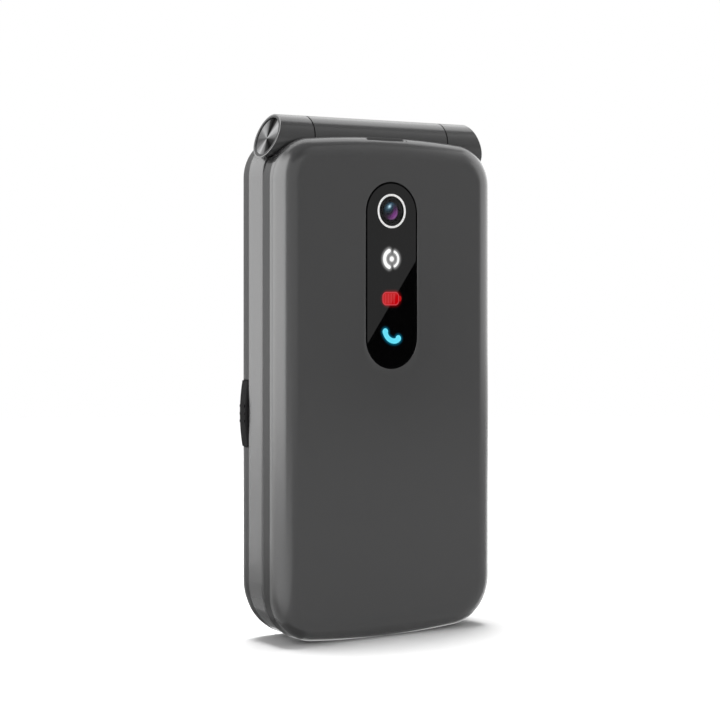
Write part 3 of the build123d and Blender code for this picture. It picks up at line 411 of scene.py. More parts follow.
class Wiring:
    """Node tree with short ways to add nodes. A value is a number, a colour or another node's output."""

    def __init__(self, tree):
        self.tree = tree

    def put(self, socket, value):
        """Joins or sets one input."""
        if isinstance(value, bpy.types.NodeSocket):
            self.tree.links.new(value, socket)
        else:
            socket.default_value = value

    def out(self, kind, inputs=None, output=0, **settings):
        """New node with its settings and inputs; one of its outputs."""
        node = self.tree.nodes.new("ShaderNode" + kind)
        for key, value in settings.items():
            setattr(node, key, value)
        for key, value in (inputs or {}).items():
            self.put(node.inputs[key], value)
        return node.outputs[output]

    def math(self, operation, first, second):
        """One sum, product or comparison of two values."""
        return self.out("Math", {0: first, 1: second}, operation=operation)

    def spread(self, source, low_value, high_value, low_in=0.3, high_in=0.7):
        """Source from low_in to high_in, brought to the range between two values."""
        return self.out("MapRange", {"Value": source, "From Min": low_in, "From Max": high_in,
                                     "To Min": low_value, "To Max": high_value})

    def tint(self, factor, first, second):
        """Mix of two colours."""
        first, second = (v if isinstance(v, bpy.types.NodeSocket) else (*v[:3], 1) for v in (first, second))
        return self.out("Mix", {0: factor, 6: first, 7: second}, 2, data_type="RGBA")


class Finish(Wiring):
    """New material, or a copy of one, with constant values on its shader's own sockets."""

    def __init__(self, name, start=None, **constants):
        self.material = start.copy() if start else bpy.data.materials.new(name)
        self.material.name = name
        self.material.use_nodes = True
        super().__init__(self.material.node_tree)
        self.shader = self.tree.nodes["Principled BSDF"]
        self.place = self.out("TexCoord", output="Object")
        for key, value in constants.items():
            self.set(key.replace("_", " "), value)

    def set(self, name, value):
        """Joins or sets one input of the shader."""
        self.put(self.shader.inputs[name], value)

    def noise(self, scale, detail=2.0, vector=None):
        """Clouds over the object's own coordinates, or over another vector."""
        return self.out("TexNoise", {"Vector": self.place if vector is None else vector, "Scale": scale,
                                     "Detail": detail})

    def tone(self, factor, base, darker, lighter):
        """Base colour between a darker and a lighter shade of one colour."""
        self.set("Base Color", self.tint(factor, shade_of(base, darker), shade_of(base, lighter)))

    def bump(self, height, distance, strength=1.0):
        """Surface lifted by the height's share of a distance in metres."""
        self.set("Normal", self.out("Bump", {"Height": height, "Strength": strength, "Distance": distance}))

    def glow_from(self, attribute):
        """Painted glow whose colour is kept on the mesh."""
        self.set("Emission Color", self.out("Attribute", output="Color", attribute_name=attribute,
                                            attribute_type="GEOMETRY"))
        self.set("Emission Strength", 1.0)


def shade_of(base, factor):
    """Colour made lighter or darker."""
    return tuple(min(1.0, c * factor) for c in base)


def moulded(name, base, rough, grain, depth, variation=0.06, **constants):
    """Plastic or paint: a slow drift of tone, a drift of gloss, and a fine grain that lifts the surface
    by depth metres."""
    f = Finish(name, **constants)
    less, more = 1 - variation, 1 + variation
    f.tone(f.noise(45.0, 3.0), base, less, more)
    f.set("Roughness", f.spread(f.noise(260.0, 5.0), rough * less, rough * more))
    f.bump(f.noise(grain, 4.0), depth)
    return f.material


def banded(name, material, axis, beyond, edge, base):
    """Copy of the case's paint that is left off beyond an edge on one axis."""
    f = Finish(name, material)
    along_axis = f.out("SeparateXYZ", {"Vector": f.place}, axis)
    bare = f.math(beyond, along_axis, edge)
    f.set("Base Color", f.tint(bare, f.shader.inputs["Base Color"].links[0].from_socket, base))
    f.set("Specular IOR Level", f.spread(bare, 0.5, TRIM_GLOSS, 0.0, 1.0))
    f.set("Coat Weight", f.spread(bare, CASE_COAT, 0.0, 0.0, 1.0))
    return f.material


def metal(name, base, rough, scale, stretch):
    """Metal with brushing that is drawn out along one direction."""
    f = Finish(name, Metallic=1.0)
    lines = f.noise(scale, 6.0, f.out("Mapping", {"Vector": f.place, "Scale": stretch}))
    f.tone(lines, base, 0.85, 1.12)
    f.set("Roughness", f.spread(lines, rough * 0.75, rough * 1.3))
    f.bump(lines, 4e-6)
    return f.material


def black_glass(name, base):
    """Black glass: nearly mirror-smooth, with faint cloudy wipe marks, and a painted glow round the signs
    that stands for the light that spills from them into it."""
    f = Finish(name, IOR=1.5)
    drawn = f.out("Mapping", {"Vector": f.place, "Scale": (1.0, 1.0, 0.35), "Rotation": (0.0, 0.6, 0.0)})
    wipe = f.noise(180.0, 6.0, drawn)
    f.tone(wipe, base, 0.8, 1.25)
    f.set("Roughness", f.spread(wipe, 0.002, 0.012))
    f.glow_from("PaintedSpill")
    return f.material


def lamp(name, base, strength=1.0):
    """Diffuser lit from behind: brighter in the middle of its grain than between."""
    f = Finish(name, Roughness=0.02, Emission_Strength=strength)
    f.set("Base Color", (*shade_of(base, 0.02), 1))
    f.set("Emission Color", f.tint(f.noise(900.0, 3.0), shade_of(base, 0.9), base))
    return f.material


# Place round the face, as a share of a turn, and brightness of the painted highlight and shade sectors of
# spun metal.
PAINTED_SECTORS = (
    (0.0, 0.2), (0.04, 0.22), (0.10, 0.58), (0.135, 0.44), (0.18, 0.22), (0.225, 0.03), (0.28, 0.0),
    (0.325, 0.05), (0.36, 0.45), (0.395, 0.85), (0.45, 0.7), (0.5, 0.22), (0.56, 0.04), (0.625, 0.0),
    (0.69, 0.05), (0.745, 0.3), (0.80, 0.8), (0.84, 0.5), (0.885, 0.2), (0.965, 0.12), (1.0, 0.2))


def spun(name, base):
    """Spun metal. Turning marks run round the middle, a noise across V alone. Bright and dark sectors of
    painted highlight and shade, a ramp round U, set the colour and how much of it is metal."""
    f = Finish(name, Anisotropic=0.5, Specular_IOR_Level=0.0)
    uv = f.out("UVMap", uv_map="UVMap")
    painted_sector_light = f.out("ValToRGB", {"Fac": f.out("SeparateXYZ", {"Vector": uv})})
    colours = painted_sector_light.node.color_ramp
    colours.interpolation = "EASE"
    for place, _ in PAINTED_SECTORS[1:-1]:
        colours.elements.new(place)
    for element, (place, bright) in zip(colours.elements, PAINTED_SECTORS):
        element.position, element.color = place, (bright, bright, bright, 1)
    marks = f.noise(5.0, 5.0, f.out("Mapping", {"Vector": uv, "Scale": (0.0, 60.0, 1.0)}))
    turned = f.tint(marks, shade_of(base, 0.8), shade_of(base, 1.2))
    # Dark sectors are painted shade and bright ones painted highlight, in colour and in metal alike.
    f.set("Base Color", f.tint(painted_sector_light, shade_of(base, 0.03), turned))
    f.set("Metallic", f.spread(painted_sector_light, 0.0, 1.0, 0.0, 0.25))
    f.set("Roughness", f.spread(marks, 0.26, 0.36))
    f.bump(marks, 4e-6, 0.4)
    f.set("Tangent", f.out("Tangent", direction_type="UV_MAP", uv_map="UVMap"))
    return f.material


def board_finish(name, base):
    """Circuit board: solder mask with lighter tracks, from a coarse grid of cells."""
    f = Finish(name, Roughness=0.38)
    cells = f.out("TexVoronoi", {"Vector": f.place, "Scale": 420.0}, "Distance", distance="CHEBYCHEV",
                  feature="F1")
    tracks = f.spread(cells, 0.0, 1.0, 0.42, 0.5)
    f.tone(tracks, base, 1.0, 2.2)
    f.bump(tracks, 1.5e-5)
    return f.material


def coating_and_painted_glint(name, rough):
    """Coated glass in front of black, in faint clouds, with a painted highlight that is kept on the mesh as
    a glow.
    """
    f = Finish(name, Metallic=1.0)
    cloud = f.noise(700.0)
    f.set("Base Color", f.tint(cloud, (0.004, 0.0045, 0.006), (0.008, 0.009, 0.012)))
    f.set("Roughness", f.spread(cloud, rough * 0.85, rough * 1.15))
    f.glow_from("PaintedGlint")
    return f.material


def pane_finish():
    """Clear pane, a little smoky, with faint wipe marks."""
    f = Finish("camera_pane", Transmission_Weight=1.0, IOR=1.22)
    wipe = f.noise(300.0, 4.0)
    f.set("Roughness", f.spread(wipe, 0.0, 0.012))
    f.set("Base Color", f.tint(wipe, (0.9, 0.9, 0.92), (1.0, 1.0, 1.0)))
    return f.material


def display_finish(centre, half_x, half_z):
    """Black border round a slightly lighter switched-off display, with its fine pixel grid."""
    f = Finish("display_pane", IOR=1.5, Roughness=0.04)
    local = f.out("VectorMath", {0: f.place, 1: tuple(centre)}, operation="SUBTRACT")
    away = f.out("VectorMath", {0: local}, operation="ABSOLUTE")
    inside = f.math("MULTIPLY", *(f.math("LESS_THAN", f.out("SeparateXYZ", {"Vector": away}, axis), half)
                                  for axis, half in ((0, half_x), (2, half_z))))
    dots = f.out("TexChecker", {"Vector": f.place, "Scale": 6000.0}, 1)
    share = f.math("MULTIPLY", inside, f.spread(dots, 0.85, 1.0, 0.0, 1.0))
    f.set("Base Color", f.tint(share, (0.0025, 0.0025, 0.003), bpy.context.scene.phone_colours.display))
    return f.material


CASE_COAT = 0.33
TRIM_GLOSS = 0.14
FINISHES = {}


def finish_of(name):
    """Material by its short name, made at its first use."""
    if name in FINISHES:
        return FINISHES[name]
    scene = bpy.context.scene
    c, s = scene.phone_colours, scene.phone_sizes
    # Colour, roughness, scale of the grain, its height in metres and the drift of tone and gloss.
    plain = {
        "key": ("key_satin", c.key, 0.42, 5200.0, 2.5e-6, 0.05),
        "print": ("key_print", c.print, 0.5, 6000.0, 1e-6, 0.04),
        "print_call": ("call_print", c.call, 0.45, 6000.0, 1e-6, 0.05),
        "print_end": ("end_print", c.end, 0.45, 6000.0, 1e-6, 0.05),
        "rubber": ("rubber_soft", c.rubber, 0.75, 4200.0, 8e-6, 0.08),
        "film": ("cable_film", c.film, 0.35, 1500.0, 2e-6, 0.12),
        "cell": ("cell_wrap", c.cell, 0.45, 1800.0, 4e-6, 0.1),
        "dark": ("dark_plastic", c.rubber, 0.55, 3600.0, 5e-6, 0.06),
    }
    makers = {
        "case": lambda: moulded("case_paint", c.case, 0.25, 700.0, 1.5e-7, 0.012, Coat_Weight=CASE_COAT,
                                Coat_Roughness=0.14),
        "lid": lambda: banded("lid_paint", finish_of("case"), 1, "GREATER_THAN", s.band_front, c.trim),
        "frame": lambda: banded("frame_paint", finish_of("case"), 2, "LESS_THAN", s.paint_foot, c.trim),
        "trim": lambda: moulded("trim_plastic", c.trim, 0.36, 900.0, 4e-7, 0.02,
                                Specular_IOR_Level=TRIM_GLOSS),
        "window": lambda: black_glass("window_glass", c.window),
        "bezel": lambda: moulded("bezel_matte", shade_of(c.window, 1.3), 0.7, 1400.0, 1e-6, 0.1,
                                 Specular_IOR_Level=0.0),
        # The ring's paint carries a painted glow.
        "ring": lambda: moulded("ring_paint_and_painted_glow", c.ring, 0.32, 3000.0, 1e-6, 0.02, Emission_Color=(1, 1, 1, 1),
                                Emission_Strength=scene.studio_levels.ring_painted_glow),
        "cap": lambda: spun("cap_metal_and_painted_sectors", c.cap),
        "panel": lambda: moulded("panel_gloss", c.panel, 0.16, 3000.0, 6e-7, 0.05, Coat_Weight=0.5),
        "torch": lambda: lamp("torch_lamp", c.torch),
        "charge": lambda: lamp("battery_lamp", c.charge),
        "charge_bar": lambda: lamp("battery_lamp_bar", c.charge_bar),
        "charge_edge": lambda: lamp("battery_lamp_edge", c.charge_edge),
        "handset": lambda: lamp("handset_lamp", c.handset, 0.96),
        "steel": lambda: metal("steel_brushed", c.steel, 0.3, 900.0, (1.0, 1.0, 7.0)),
        "board": lambda: board_finish("board_mask", c.board),
        "rocker": lambda: moulded("rocker_rubber", c.rocker, 0.6, 1400.0, 1e-6, 0.06,
                                  Specular_IOR_Level=0.04),
    }
    FINISHES[name] = moulded(*plain[name]) if name in plain else makers[name]()
    return FINISHES[name]


# Pieces

CAP_SLANT = math.radians(21.0)
# Bearings of the direction keys round the select key, in degrees.
TURNS = {"key_right": 0, "key_up": 90, "key_left": 180, "key_down": 270}
# Radii of the arcs that bound the direction keys.
PAD_OUTER, PAD_INNER = 11.5 * MM, 5.4 * MM


class PHONE_OT_lid_cover(bpy.types.Operator):
    """Front shell of the lid, with the window's recess, the channel and the groove"""
    bl_idname = "phone.lid_cover"
    bl_label = "Lid cover"

    def execute(self, context):
        s = context.scene.phone_sizes
        loop = case_outline(s)
        front, back = low("lid_cover").y, high("lid_cover").y
        # A ring is a pair of flat places and their depths, from the hollow round to the hollow.
        side, start = self.side_rings(s, loop, front, back)
        rings = self.front_rings(s, loop, front, back) + side + self.back_rings(s, loop, start, front, back)
        grid = np.stack([upright(flat, depth) for flat, depth in rings], 1)
        # The groove is a slot cut straight down from above.
        half = s.groove_thickness / 2
        across = np.maximum(np.abs(grid[..., 0]) - (s.groove_width / 2 - half), 0)
        inside = across ** 2 + (grid[..., 1] - s.groove_y) ** 2 < half ** 2
        grid[..., 2] = np.where(inside & (grid[..., 2] > s.groove_floor), s.groove_floor, grid[..., 2])
        grid[..., 2] = np.maximum(grid[..., 2], 0.0)
        settle(grid_piece("lid_cover_shell", grid, "lid", sharp=28), "lid", "case", "lid_cover")
        return {"FINISHED"}

    def front_rings(self, s, loop, front, back):
        """From the hollow behind the window over its soft edge and out to the rounding: a point is the
        window's middle plus a distance along the ray to the rim. The distance begins inside the window's
        edge, runs over a small quarter turn, and then grows to the rim at the depth of the front."""
        points, normals = loop
        centre = np.array([0.0, s.window_z])
        ray = points - s.rim_reach * normals - centre
        reach = np.linalg.norm(ray, axis=1)
        ray = ray / reach[:, None]
        edge = stadium_edge(ray, s.window_radius, s.window_reach)
        floor, e, ledge = high("camera_window").y, s.rim_softness, 1.0 * MM
        steps = [(edge - ledge, back * 0.2 + floor * 0.8), (edge - ledge, floor), (edge, floor),
                 (edge, front + e)]
        steps += [(edge + out, y) for out, y in rounding(e, front, 0, 90, 6)[1:]]
        steps += [(edge + e + t * (reach - edge - e), front) for t in np.linspace(0, 1, 14)[1:] ** 1.2]
        return [(centre + ray * away[:, None], y) for away, y in steps]

    def side_rings(self, s, loop, front, back):
        """The rounding is a quarter ellipse: its inset is the reach times one less the sine of the turn,
        its depth the rim's depth times one less the cosine. The side runs straight back from it to the
        frame, and a point stands at a share of its line's length. Where the barrel's channel cuts in, the
        lines stop at the channel."""
        points, normals = loop
        turns = np.linspace(0, QUARTER, 600)
        straight = np.linspace(0, back - front - s.rim_depth, 200)[1:]
        inset = np.concatenate([s.rim_reach * (1 - np.sin(turns)), np.zeros(len(straight))])
        depth = np.concatenate([s.rim_depth * (1 - np.cos(turns)), s.rim_depth + straight]) + front
        run = distances(np.stack([inset, depth], 1))
        z = points[:, 1:] - inset * normals[:, 1:]
        stop = run[np.argmax(depth >= self.channel(s, z, back), axis=1)]
        near = np.minimum(stop, run[len(turns) - 1])
        share = np.concatenate([np.linspace(0, 0.2, 8)[1:], np.linspace(0.2, 0.9, 40)[1:],
                                np.linspace(0.9, 1.0, 8)[1:]])
        stations = [near * t for t in share] + [near + (stop - near) * t for t in np.linspace(0, 1, 7)[1:]]
        rings = [(points - np.interp(at, run, inset)[:, None] * normals, np.interp(at, run, depth))
                 for at in stations]
        return rings, np.interp(stop, run, inset)

    def back_rings(self, s, loop, start, front, back):
        """The back rim goes in by the wall, or down the channel as far as the frame, and the hollow
        follows: a point is the outline's less its inset times the normal."""
        points, normals = loop
        channel_foot = s.axis_z - math.sqrt(s.channel_radius ** 2 - (back - s.axis_y) ** 2)
        drop = (points[:, 1] - channel_foot) / np.maximum(normals[:, 1], 0.3)
        end = np.where(points[:, 1] > channel_foot, np.maximum(drop, s.lid_wall), s.lid_wall)
        rings = []
        for t in np.linspace(0, 1, 13)[1:]:
            flat = points - (start + (end - start) * t)[:, None] * normals
            rings.append((flat, self.channel(s, flat[:, 1], back)))
        return rings + [(points - (end + inset * MM)[:, None] * normals, front + depth * MM)
                        for inset, depth in ((0.0, 3.2), (0.9, 1.5), (2.0, 1.2))]

    def channel(self, s, z, back):
        """Depth of the channel at a height, or of the lid's back where the channel doesn't reach: the hinge
        axis's depth less the root of the radius squared less the height from the axis squared."""
        lift = s.channel_radius ** 2 - (z - s.axis_z) ** 2
        return np.where(lift > 0, np.minimum(s.axis_y - np.sqrt(np.maximum(lift, 0)), back), back)


class PHONE_OT_window(bpy.types.Operator):
    """Black window of the lid, with a painted glow in its glass round the signs"""
    bl_idname = "phone.window"
    bl_label = "Window"

    def execute(self, context):
        s = context.scene.phone_sizes
        front, back = low("camera_window").y, high("camera_window").y
        # A point is the camera's middle plus a distance along a ray, from the camera's hole to the glass's
        # edge. The rays stand closer together within a sweep in degrees of straight down, over the signs.
        hub = np.array([0.0, middle("camera_ring").z])
        sweep = 17
        ray = np.concatenate([arc_of(1.0, -90 - sweep, -90 + sweep, 261)[1][:-1],
                              arc_of(1.0, -90 + sweep, 270 - sweep, 151)[1][:-1]])
        hole = s.ring_outer + 0.02 * MM
        edge = self.edge_along(ray, hub, s.window_radius - s.window_gap - s.bezel_width, s)
        face = [(hole + (edge - hole) * t, front) for t in np.linspace(0, 1, 200)]
        rings = [(hole, back)] + face + [(edge, back)]
        flat = np.stack([hub + ray * np.broadcast_to(reach, len(ray))[:, None] for reach, _ in rings], 1)
        depth = np.array([y for _, y in rings])
        # Painted glow round the signs, kept on the glass as a glow colour.
        glow = self.painted_spill(flat) * (depth < front + 0.1 * MM)[:, None]
        glass = grid_piece("window_glass", upright(flat, depth), "window", sharp=50,
                           attribute=("PaintedSpill", glow))
        settle(glass, "lid", "window", "camera_window")
        settle(self.bezel(s, front, back), "lid", "window")
        return {"FINISHED"}

    def bezel(self, s, front, back):
        """Matte black rim of the glass, a stadium loop with a small outer chamfer."""
        outer = s.window_radius - s.window_gap
        loop = rounded_loop(2 * outer, 2 * (outer + s.window_reach), outer, 0.0, s.window_z, 60, 40)
        inner, e = s.bezel_width - 0.002 * MM, 0.04 * MM
        section = [(0, back), (0, front + e), (e, front), (inner, front), (inner, back)]
        return grid_piece("window_bezel", loop_surface(loop, section), "bezel")

    def edge_along(self, ray, hub, radius, s):
        """Distance along each ray from the hub to the stadium: the nearer of its straight side and, past
        the centre of a round end, that end's circle."""
        side = radius / np.maximum(np.abs(ray[:, 0]), 1e-9)
        reach = side.copy()
        for end in (-1, 1):
            centre = np.array([0.0, s.window_z + end * s.window_reach]) - hub
            along = ray @ centre
            cross = along + np.sqrt(np.maximum(along ** 2 - centre @ centre + radius ** 2, 0.0))
            past = end * (hub[1] + ray[:, 1] * side - s.window_z) > s.window_reach
            reach = np.where(past, cross, reach)
        return reach

    def painted_spill(self, flat):
        """Painted glow in the glass beside each sign, a bell curve of the distance to it."""
        c = bpy.context.scene.phone_colours
        centre = middle("torch_light")
        spot = np.array([[centre.x, centre.z]])
        dot, core = (spot, np.array([0.5 * MM])), (spot, np.array([1.0 * MM]))
        torch = [np.concatenate(parts) for parts in zip(torch_arc("left"), torch_arc("right"), dot)]
        total = np.zeros(flat.shape[:2] + (4,))
        # Painted glow of each sign: path and half width, colour, strength, and the curve's width in
        # millimetres.
        for (path, half), base, strength, width in (
                (torch, c.torch, 0.26, 0.34), (core, c.torch, 0.11, 0.4),
                (battery_bar(), c.charge, 0.28, 0.34), (handset_line(), c.halo, 0.26, 0.30)):
            gap = np.full(flat.shape[:2], 1.0)
            for place, wide in zip(path[::2], half[::2]):
                gap = np.minimum(gap, np.hypot(flat[..., 0] - place[0], flat[..., 1] - place[1]) - wide)
            fall = strength * np.exp(-(np.maximum(gap, 0) / (width * MM)) ** 2)
            total[..., :3] += fall[..., None] * np.array(tuple(base))
        total[..., 3] = 1.0
        return total


def torch_arc(side):
    """Path and half width of one of the torch sign's two arcs; the left one is heavier."""
    centre = middle("torch_light")
    # Facing and sweep each way in degrees, radius and half width in millimetres.
    facing, radius, half, sweep = {"left": (180, 1.80, 0.43, 68), "right": (0, 1.64, 0.27, 64)}[side]
    path, _ = arc_of(radius * MM, facing - sweep, facing + sweep, 61, centre.x, centre.z)
    return path, np.full(len(path), half * MM)


def battery_bar():
    """Path and half width that cover the battery sign."""
    centre = middle("battery_light")
    x = np.linspace(-0.95, 0.75, 19) * MM
    return np.stack([centre.x + x, np.full(len(x), centre.z)], 1), np.full(len(x), 1.35 * MM)


def handset_line():
    """Path and half width of the handset: polynomials of the fourth degree fitted to listed places in
    millimetres, and a half width that grows with the fourth power of the way from the middle."""
    centre = middle("call_light")
    places = np.array([(-1.62, 0.95), (-1.38, 0.2), (-0.8, -0.47), (0.05, -0.9), (0.95, -0.95),
                       (1.62, -0.5)])
    share, run = np.linspace(0, 1, len(places)), np.linspace(0, 1, 81)
    bow = [np.polyval(np.polyfit(share, line, 4), run) * MM for line in places.T]
    return np.stack([centre.x + bow[0], centre.z + bow[1]], 1), (0.57 + 0.16 * (2 * run - 1) ** 4) * MM


class PHONE_OT_signs(bpy.types.Operator):
    """Torch, battery and handset signs, lit from behind"""
    bl_idname = "phone.signs"
    bl_label = "Lit signs"

    def execute(self, context):
        front = low("camera_window").y - context.scene.phone_sizes.sign_rise
        back = front + 0.3 * MM
        torch = middle("torch_light")
        lamps = [stroke(f"torch_{side}", *torch_arc(side), front, back, "torch")
                 for side in ("left", "right")]
        dot = circle_loop(0.54 * MM, torch.x, torch.z, 40)
        lamps.append(self.pad("torch_dot", dot, front, back, "torch"))
        settle(join("torch_sign", lamps), "lid", "torch_light", "torch_light")

        cell = middle("battery_light")
        under = front + 0.01 * MM

        def block(width, height, radius, x=0.0):
            """Rectangle with round corners, in millimetres, x from the middle of the battery's body."""
            return rounded_loop(width * MM, height * MM, radius * MM, cell.x + (x - 0.25) * MM, cell.z)

        bars = [self.pad("battery_field", block(4.2, 2.8, 0.95), under, back, "charge"),
                self.pad("battery_nub", block(0.9, 1.2, 0.4, 2.2), under, back, "charge")]
        bars += [self.pad(f"battery_bar_{k}", block(0.34, 2.1, 0.16, k * 0.72 - 1.35), front, back,
                          "charge_bar") for k in range(4)]
        outline, _ = block(3.95, 2.55, 0.85)
        bars.append(stroke("battery_edge", outline, 0.12 * MM, front, back, "charge_edge", closed=True))
        settle(join("battery_sign", bars), "lid", "battery_light", "battery_light")

        handset = stroke("handset_sign", *handset_line(), front, back, "handset")
        settle(handset, "lid", "call_light", "call_light")
        return {"FINISHED"}

    def pad(self, name, loop, front, back, finish):
        """Flat sign with a soft rim: the loop's inset closes to its middle on both faces."""
        e = 0.05 * MM
        return filled_piece(name, loop, [(e * 1.5, front), (e, front), (e * 0.3, front + e * 0.3),
                                         (0, front + e), (0, back)], finish)


class PHONE_OT_camera_eye(bpy.types.Operator):
    """White ring round the camera, its dark hood, a clear pane and the coated front element behind it"""
    bl_idname = "phone.camera_eye"
    bl_label = "Camera"

    def execute(self, context):
        s = context.scene.phone_sizes
        centre = middle("camera_ring")
        front, back = low("camera_ring").y, high("camera_ring").y
        thickness, e = s.ring_outer - s.ring_inner, 0.16 * MM
        profile = [(0, back), (0, front + 0.6 * MM)] + rounding(e, front, 0, 90, 8)
        profile += rounding(e, front, 90, 0, 8, thickness, -1) + [(thickness, back)]
        band = loop_surface(circle_loop(s.ring_outer, centre.x, centre.z, 128), profile)
        settle(grid_piece("camera_ring_band", band, "ring"), "lid", "ring", "camera_ring")

        # Behind a clear pane, a funnel leads down to the front element, a cap of a sphere.
        pane_front, bed = low("camera_lens").y, high("camera_lens").y
        pane_back, thin = pane_front + 0.1 * MM, 0.02 * MM
        outer = s.ring_inner - 4 * thin
        rim, neck = pane_back + thin, bed - thin
        hood = (outer + 3 * thin, outer + thin)
        self.disc("camera_hood", centre, [(hood[0], front + e), (hood[0], bed), (hood[1], bed),
                                          (hood[1], front + e)], "bezel", True)
        self.disc("camera_pane", centre, [(0, pane_front), (outer, pane_front), (outer, pane_back),
                                          (0, pane_back)], pane_finish(), False, "camera_lens")
        fun, eye, gap = s.funnel_radius, s.element_radius, 0.06 * MM
        lip = fun + 0.05 * MM
        slope = [(fun + (eye + gap - fun) * t, rim + (neck - rim) * t) for t in np.linspace(0, 1, 12)]
        self.disc("camera_funnel", centre, [(0, bed), (lip, bed), (lip, rim)] + slope + [(0, neck)],
                  coating_and_painted_glint("funnel_coating_painted_glint", 0.22))
        step = rim + 0.05 * MM
        iris = [(fun + gap, bed), (outer, bed), (outer, rim), (fun + 0.4 * MM, rim), (fun + 0.3 * MM, step),
                (fun + gap, step)]
        self.disc("camera_iris", centre, iris, "bezel", True)
        ball = s.element_ball
        cap = [(ball * math.sin(a), rim + ball * (1 - math.cos(a)))
               for a in np.linspace(0, math.asin(eye / ball), 30)]
        self.disc("camera_element", centre, cap + [(0, cap[-1][1])], coating_and_painted_glint("element_coating_painted_glint", 0.14))
        return {"FINISHED"}

    def disc(self, name, centre, section, material, round_section=False, *nodes):
        """Solid of revolution about the camera's axis, from radius and depth pairs: a point is the centre
        plus the radius times the unit vector of its turn."""
        radius, depth = np.array(section).T
        unit, _ = circle_loop(1.0, count=96)
        flat = unit[:, None] * radius[:, None]
        # Painted highlight of the lens, kept on every disc as a glow colour.
        painted_glint = self.painted_glint(flat[..., 0], flat[..., 1])
        piece = grid_piece(name, upright(flat + np.array([centre.x, centre.z]), depth), material,
                           (True, round_section), attribute=("PaintedGlint", painted_glint))
        settle(piece, "lid", "lens", *nodes)

    def painted_glint(self, x, z):
        """Painted highlight on the coatings, kept as a glow colour: a slanted blue spot with a pale core at
        the upper left, and a magenta crescent with a thin pale line round the lower right. Each falls off
        as a bell curve of the distance."""
        c = bpy.context.scene.phone_colours
        dx, dz, lean = x / MM + 0.16, z / MM - 0.98, math.radians(40)
        along, across = dx * math.cos(lean) + dz * math.sin(lean), dz * math.cos(lean) - dx * math.sin(lean)
        radius, turn = np.hypot(x, z) / MM, np.arctan2(z, x)
        total = np.zeros(x.shape + (4,))
        # Painted highlights: two distances, each followed by the width of its bell curve, then brightness
        # and colour.
        for first, wide, second, tall, strength, tone in (
                (along, 0.46, across, 0.23, 0.85, (0.7, 0.93, 1.0)),
                (along, 1.05, across, 0.66, 0.42, c.element),
                (radius - 1.22, 0.52, turn + 0.68, 0.95, 0.5, c.funnel),
                (radius - 1.62, 0.12, turn + 0.85, 0.95, 0.3, (0.5, 0.22, 0.55))):
            bell = strength * np.exp(-(first / wide) ** 2 - (second / tall) ** 2)
            total[..., :3] += bell[..., None] * np.array(tuple(tone))
        total[..., 3] = 1.0
        return total


class PHONE_OT_end_caps(bpy.types.Operator):
    """Slanted caps of spun metal at both ends of the barrel"""
    bl_idname = "phone.end_caps"
    bl_label = "End caps"

    def execute(self, context):
        s = context.scene.phone_sizes
        face, rim = s.cap_face, s.cap_radius
        # Radius and sink are the section of the dished face, then that of the rim round it.
        dish, turns = np.linspace(0, 1, 40), np.linspace(0, QUARTER, 7)
        back, edge, proud = 1.0 * MM, 0.18 * MM, 0.05 * MM
        over, under = edge * (1 - np.sin(turns)), edge * (1 - np.cos(turns))
        faces = np.append(face * dish, [face, 0]), np.append((0.3 - 0.15 * dish) * MM, [back, back])
        rims = (np.concatenate([[face + 0.01 * MM], face + under, rim - over, [rim]]),
                np.concatenate([[back], over, under, [back]]))
        caps = [self.cap(s, f"cap_{name}_{side}", side, *section, stand, finish, closed)
                for side in (-1, 1)
                for name, section, stand, finish, closed in (("face", faces, 0.0, "cap", False),
                                                             ("rim", rims, proud, "trim", True))]
        settle(join("spun_caps", caps), "base", "end_cap", "end_caps")
        return {"FINISHED"}

    def cap(self, s, name, side, radius, sink, stand, finish, closed):
        """Section turned about the hinge axis and sheared to the slant: a point is the axis plus the
        radius times the unit vector of its turn, and it moves in by its height times the slant's tangent.
        The middle of the turning marks lies a little low and back, by a share that falls to nothing at
        the face's edge."""
        turn = np.linspace(0, 2 * math.pi, 181)[:, None]
        shift = np.maximum(1 - radius / s.cap_face, 0)
        y = s.axis_y + np.cos(turn) * radius + s.turning_back * shift
        rise = np.sin(turn) * radius - s.turning_drop * shift
        x = side * (s.cap_reach + stand - rise * math.tan(CAP_SLANT) - sink / math.cos(CAP_SLANT))
        uv = [np.broadcast_to(part, x.shape) for part in (turn / (2 * math.pi), radius / s.cap_radius)]
        return grid_piece(name, np.stack([x, y, s.axis_z + rise], -1), finish, (False, closed), sharp=30,
                          uv=np.stack(uv, -1))


class PHONE_OT_shells(bpy.types.Operator):
    """Finishes of the shells that keep their meshes"""
    bl_idname = "phone.shells"
    bl_label = "Shells"

    def execute(self, context):
        dress("case", "base_front_shell")
        dress("rocker", "volume_rocker")
        dress("frame", "lid_frame")
        dress("trim", "base_back_shell", "battery_cover")
        dress("rubber", "screw_plugs", "lid_bumpers")
        return {"FINISHED"}


class PHONE_OT_seam_lip(bpy.types.Operator):
    """Low lip of the lid that covers the seam along both sides and the foot"""
    bl_idname = "phone.seam_lip"
    bl_label = "Seam lip"

    def execute(self, context):
        s = context.scene.phone_sizes
        points, normals = case_outline(s)
        start = int(np.argmax((points[:, 0] < 0) & (points[:, 1] < s.lip_top)))
        points, normals = np.roll(points, -start, 0), np.roll(normals, -start, 0)
        keep = points[:, 1] < s.lip_top
        root, back = s.lip_front - 0.35 * MM, s.lip_front + s.lip_height
        outer, inner, e = s.lip_inset, s.lip_inset + 0.8 * MM, 0.06 * MM
        section = [(outer, root), (outer, back - e), (outer + e, back), (inner, back), (inner, root)]
        grid = loop_surface((points[keep], normals[keep]), section)
        grid[..., 2] = np.maximum(grid[..., 2], 0.12 * MM)
        settle(grid_piece("seam_lip", grid, "trim", (False, True), ends=True), "lid", "case")
        return {"FINISHED"}


